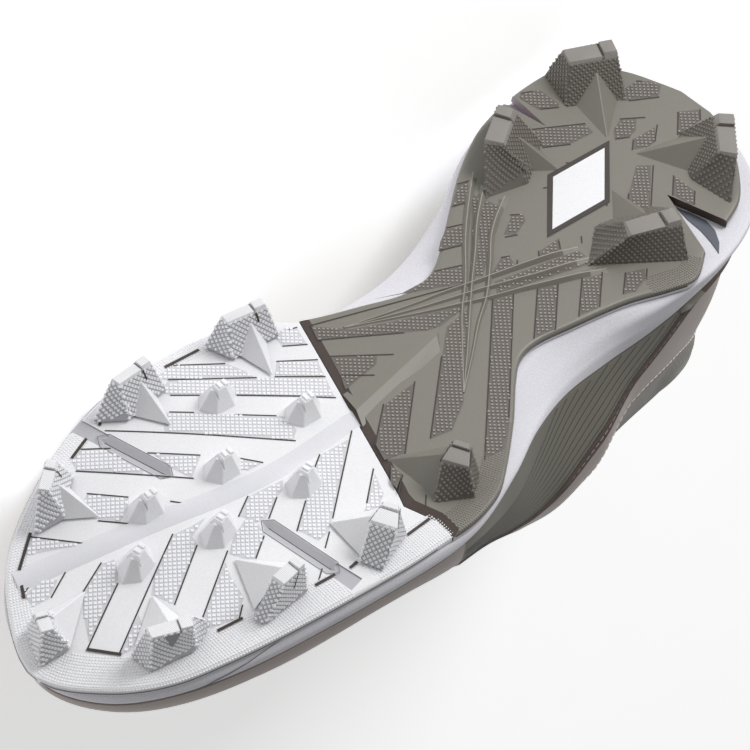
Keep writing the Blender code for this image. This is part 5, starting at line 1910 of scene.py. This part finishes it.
def tongue():
    run = np.linspace(-TONGUE_FRONT, 1 + TONGUE_FREE, TONGUE_STEPS + 1)
    rings = []
    for f in run:
        ring = tongue_ring(TONGUE_FIRST + (TONGUE_LAST - TONGUE_FIRST) * min(max(f, 0), 1))
        toe = min(max(-f / TONGUE_FRONT, 0), 1)
        top = min(max((f - 1) / TONGUE_FREE, 0), 1)
        end = max(toe, top)
        opposite = np.concatenate((ring[-2::-1], ring[-2:-1]))
        ring = ring + (opposite - ring) / 2 * rounding(4 * end - 3)
        pull = (ring.mean(0) - ring) * TONGUE_TAPER * rounding(end)
        rings.append(ring + pull + toe * TONGUE_TOE + top * TONGUE_TOP)
    rings = np.array(rings)

    def place(u, v):
        return rings[step_at(u, TONGUE_STEPS), step_at(v, rings.shape[1] - 1)]

    piece = grid("tongue_pad", TONGUE_STEPS, rings.shape[1] - 1, place, CLOTH)
    close(piece)
    rides(smooth(piece, 50), "tongue", "tongue")
    return piece


# Insole: thickness, clearance, rows above and below, and height and start of its raised edge
INSOLE = 4.0
INSOLE_CLEAR = 2.2
INSOLE_ROWS = 14
INSOLE_UNDER = 8
INSOLE_CUP = 2.0
INSOLE_FLAT = 0.6


def insole():
    def place(u, v):
        s = u * PLACES
        row = np.round(v * (INSOLE_ROWS + INSOLE_UNDER))
        edge = foot_line(s) - (WALL + INSOLE_CLEAR) * outward(s)
        spine = spine_line(s)
        share = np.clip(row / (INSOLE_ROWS - 2), 0, 1) - np.clip((row - INSOLE_ROWS) / INSOLE_UNDER, 0, 1)
        place = spine + (edge - spine) * share[:, None]
        cup = INSOLE_CUP * np.clip((share - INSOLE_FLAT) / (1 - INSOLE_FLAT), 0, 1) ** 2
        height = np.where(row >= INSOLE_ROWS, 0, INSOLE + cup)
        place[:, 2] = foot_bed(place[:, 0]) + GAP + height
        return place

    piece = grid("insole_sheet", PLACES * RING_STEPS, INSOLE_ROWS + INSOLE_UNDER, place, SOCK)
    in_edit_mode(piece, weld, face_out)
    return rides(smooth(piece, 50), "insole", "insole")


# Roll of the collar: first place, steps, how it thins, and its section on and off the wall
COLLAR_FIRST = 8.5
COLLAR_STEPS = 150
COLLAR_FADE = 0.35
COLLAR_PROFILE = table(
    "share out up",
    (1.0, 0.1, 0), (1.0, 0.1, 1.4), (1.0, -0.9, 2.6), (1.0, -2.6, 3.0), (1.0, -4.4, 2.2), (1.0, -5.4, 0.2),
    (0.95, -6.2, 0), (0.88, -6.4, 0), (0.80, -5.4, 0), (0.73, -3.6, 0), (0.69, -2.1, 0), (0.8, -1.6, 0),
    (0.95, -1.6, 0), (1.0, 0.1, 0),
)


def collar_pad():
    """Padded roll inside the collar, thinner towards the throat."""
    count = len(COLLAR_PROFILE["share"]) - 1

    def place(u, v):
        s = COLLAR_FIRST + (PLACES - 2 * COLLAR_FIRST) * u
        k = step_at(v, count)
        fade = np.sin(math.pi * u) ** COLLAR_FADE
        share = COLLAR_PROFILE["share"][k]
        out = COLLAR_PROFILE["out"][k]
        out = np.where(out < -WALL, -WALL + (out + WALL) * fade, out)
        up = unit(wall(s, 1.0) - wall(s, 0.96))
        return off_wall(s, share, out) + up * (COLLAR_PROFILE["up"][k] * fade)[:, None]

    piece = grid("collar_pad", COLLAR_STEPS, count, place, LINING)
    close(piece)
    apply(piece, "SUBSURF", levels=1)
    rides(smooth(piece, 60), "upper")
    return piece


# Stage


FLOOR_SIZE = 8.0
FLOOR_GLOW = 0.42
ROOM_LIGHT = 0.32
KEY_PLACE = (-1.35, -1.7, 0.95)
KEY_TARGET = (0, 0, 0.05)
KEY_SIZE = 1.2
KEY_POWER = 38


def stage():
    pale = finish("pale_floor", (250, 250, 250), 0.9, 40, 0.01, tint=0.005)
    floor = primitive(bpy.ops.mesh.primitive_plane_add, "floor", pale, size=FLOOR_SIZE)
    shader = pale.node_tree.nodes["Principled BSDF"]
    shader.inputs["Emission Color"].default_value = (1, 1, 1, 1)
    shader.inputs["Emission Strength"].default_value = FLOOR_GLOW
    world = bpy.data.worlds.new("studio")
    bpy.context.scene.world = world
    world.use_nodes = True
    world.node_tree.nodes["Background"].inputs["Color"].default_value = (1, 1, 1, 1)
    world.node_tree.nodes["Background"].inputs["Strength"].default_value = ROOM_LIGHT
    bpy.context.scene.view_settings.view_transform = "Standard"


def key_light():
    light = bpy.data.lights.new("key", "AREA")
    light.shape = "DISK"
    light.size = KEY_SIZE
    light.energy = KEY_POWER
    holder = bpy.data.objects.new("key", light)
    bpy.context.scene.collection.objects.link(holder)
    holder.location = KEY_PLACE
    holder.rotation_euler = (Vector(KEY_TARGET) - Vector(KEY_PLACE)).to_track_quat("-Z", "Y").to_euler()


# Camera: it looks up at the sole from ahead and lateral of the toe
CAMERA_TARGET = (145.0, 0.0, 15.0)
CAMERA_RISE_DEG = 50.7
CAMERA_TURN_DEG = 34.5
CAMERA_ROLL_DEG = 9.9
CAMERA_DISTANCE = 1130.0
CAMERA_LENS = 185.3
CAMERA_SHIFT = (-0.0345, -0.0224)


def camera():
    turn = math.radians(CAMERA_TURN_DEG)
    rise = math.radians(CAMERA_RISE_DEG)
    roll = math.radians(CAMERA_ROLL_DEG)
    right = np.array((-math.sin(turn), -math.cos(turn), 0))
    ahead = np.array((-math.cos(turn), math.sin(turn), 0))
    up = math.sin(rise) * ahead - math.cos(rise) * UP
    back = -math.cos(rise) * ahead - math.sin(rise) * UP
    rolled_right = math.cos(roll) * right + math.sin(roll) * up
    rolled_up = -math.sin(roll) * right + math.cos(roll) * up
    lens = bpy.data.cameras.new("camera")
    lens.lens = CAMERA_LENS
    lens.shift_x, lens.shift_y = CAMERA_SHIFT
    holder = bpy.data.objects.new("camera", lens)
    bpy.context.scene.collection.objects.link(holder)
    axes = TURN @ np.stack((rolled_right, rolled_up, back), 1)
    place = to_frame(np.array(CAMERA_TARGET) + CAMERA_DISTANCE * back)
    holder.matrix_world = Matrix.Translation(place) @ Matrix(axes.tolist()).to_4x4()
    bpy.context.scene.camera = holder


camera()
stage()
key_light()
forefoot_sole()
rear_sole()
midsole()
upper()
upper_lines()
eyelet_rings()
lace()
tongue()
insole()
collar_pad()
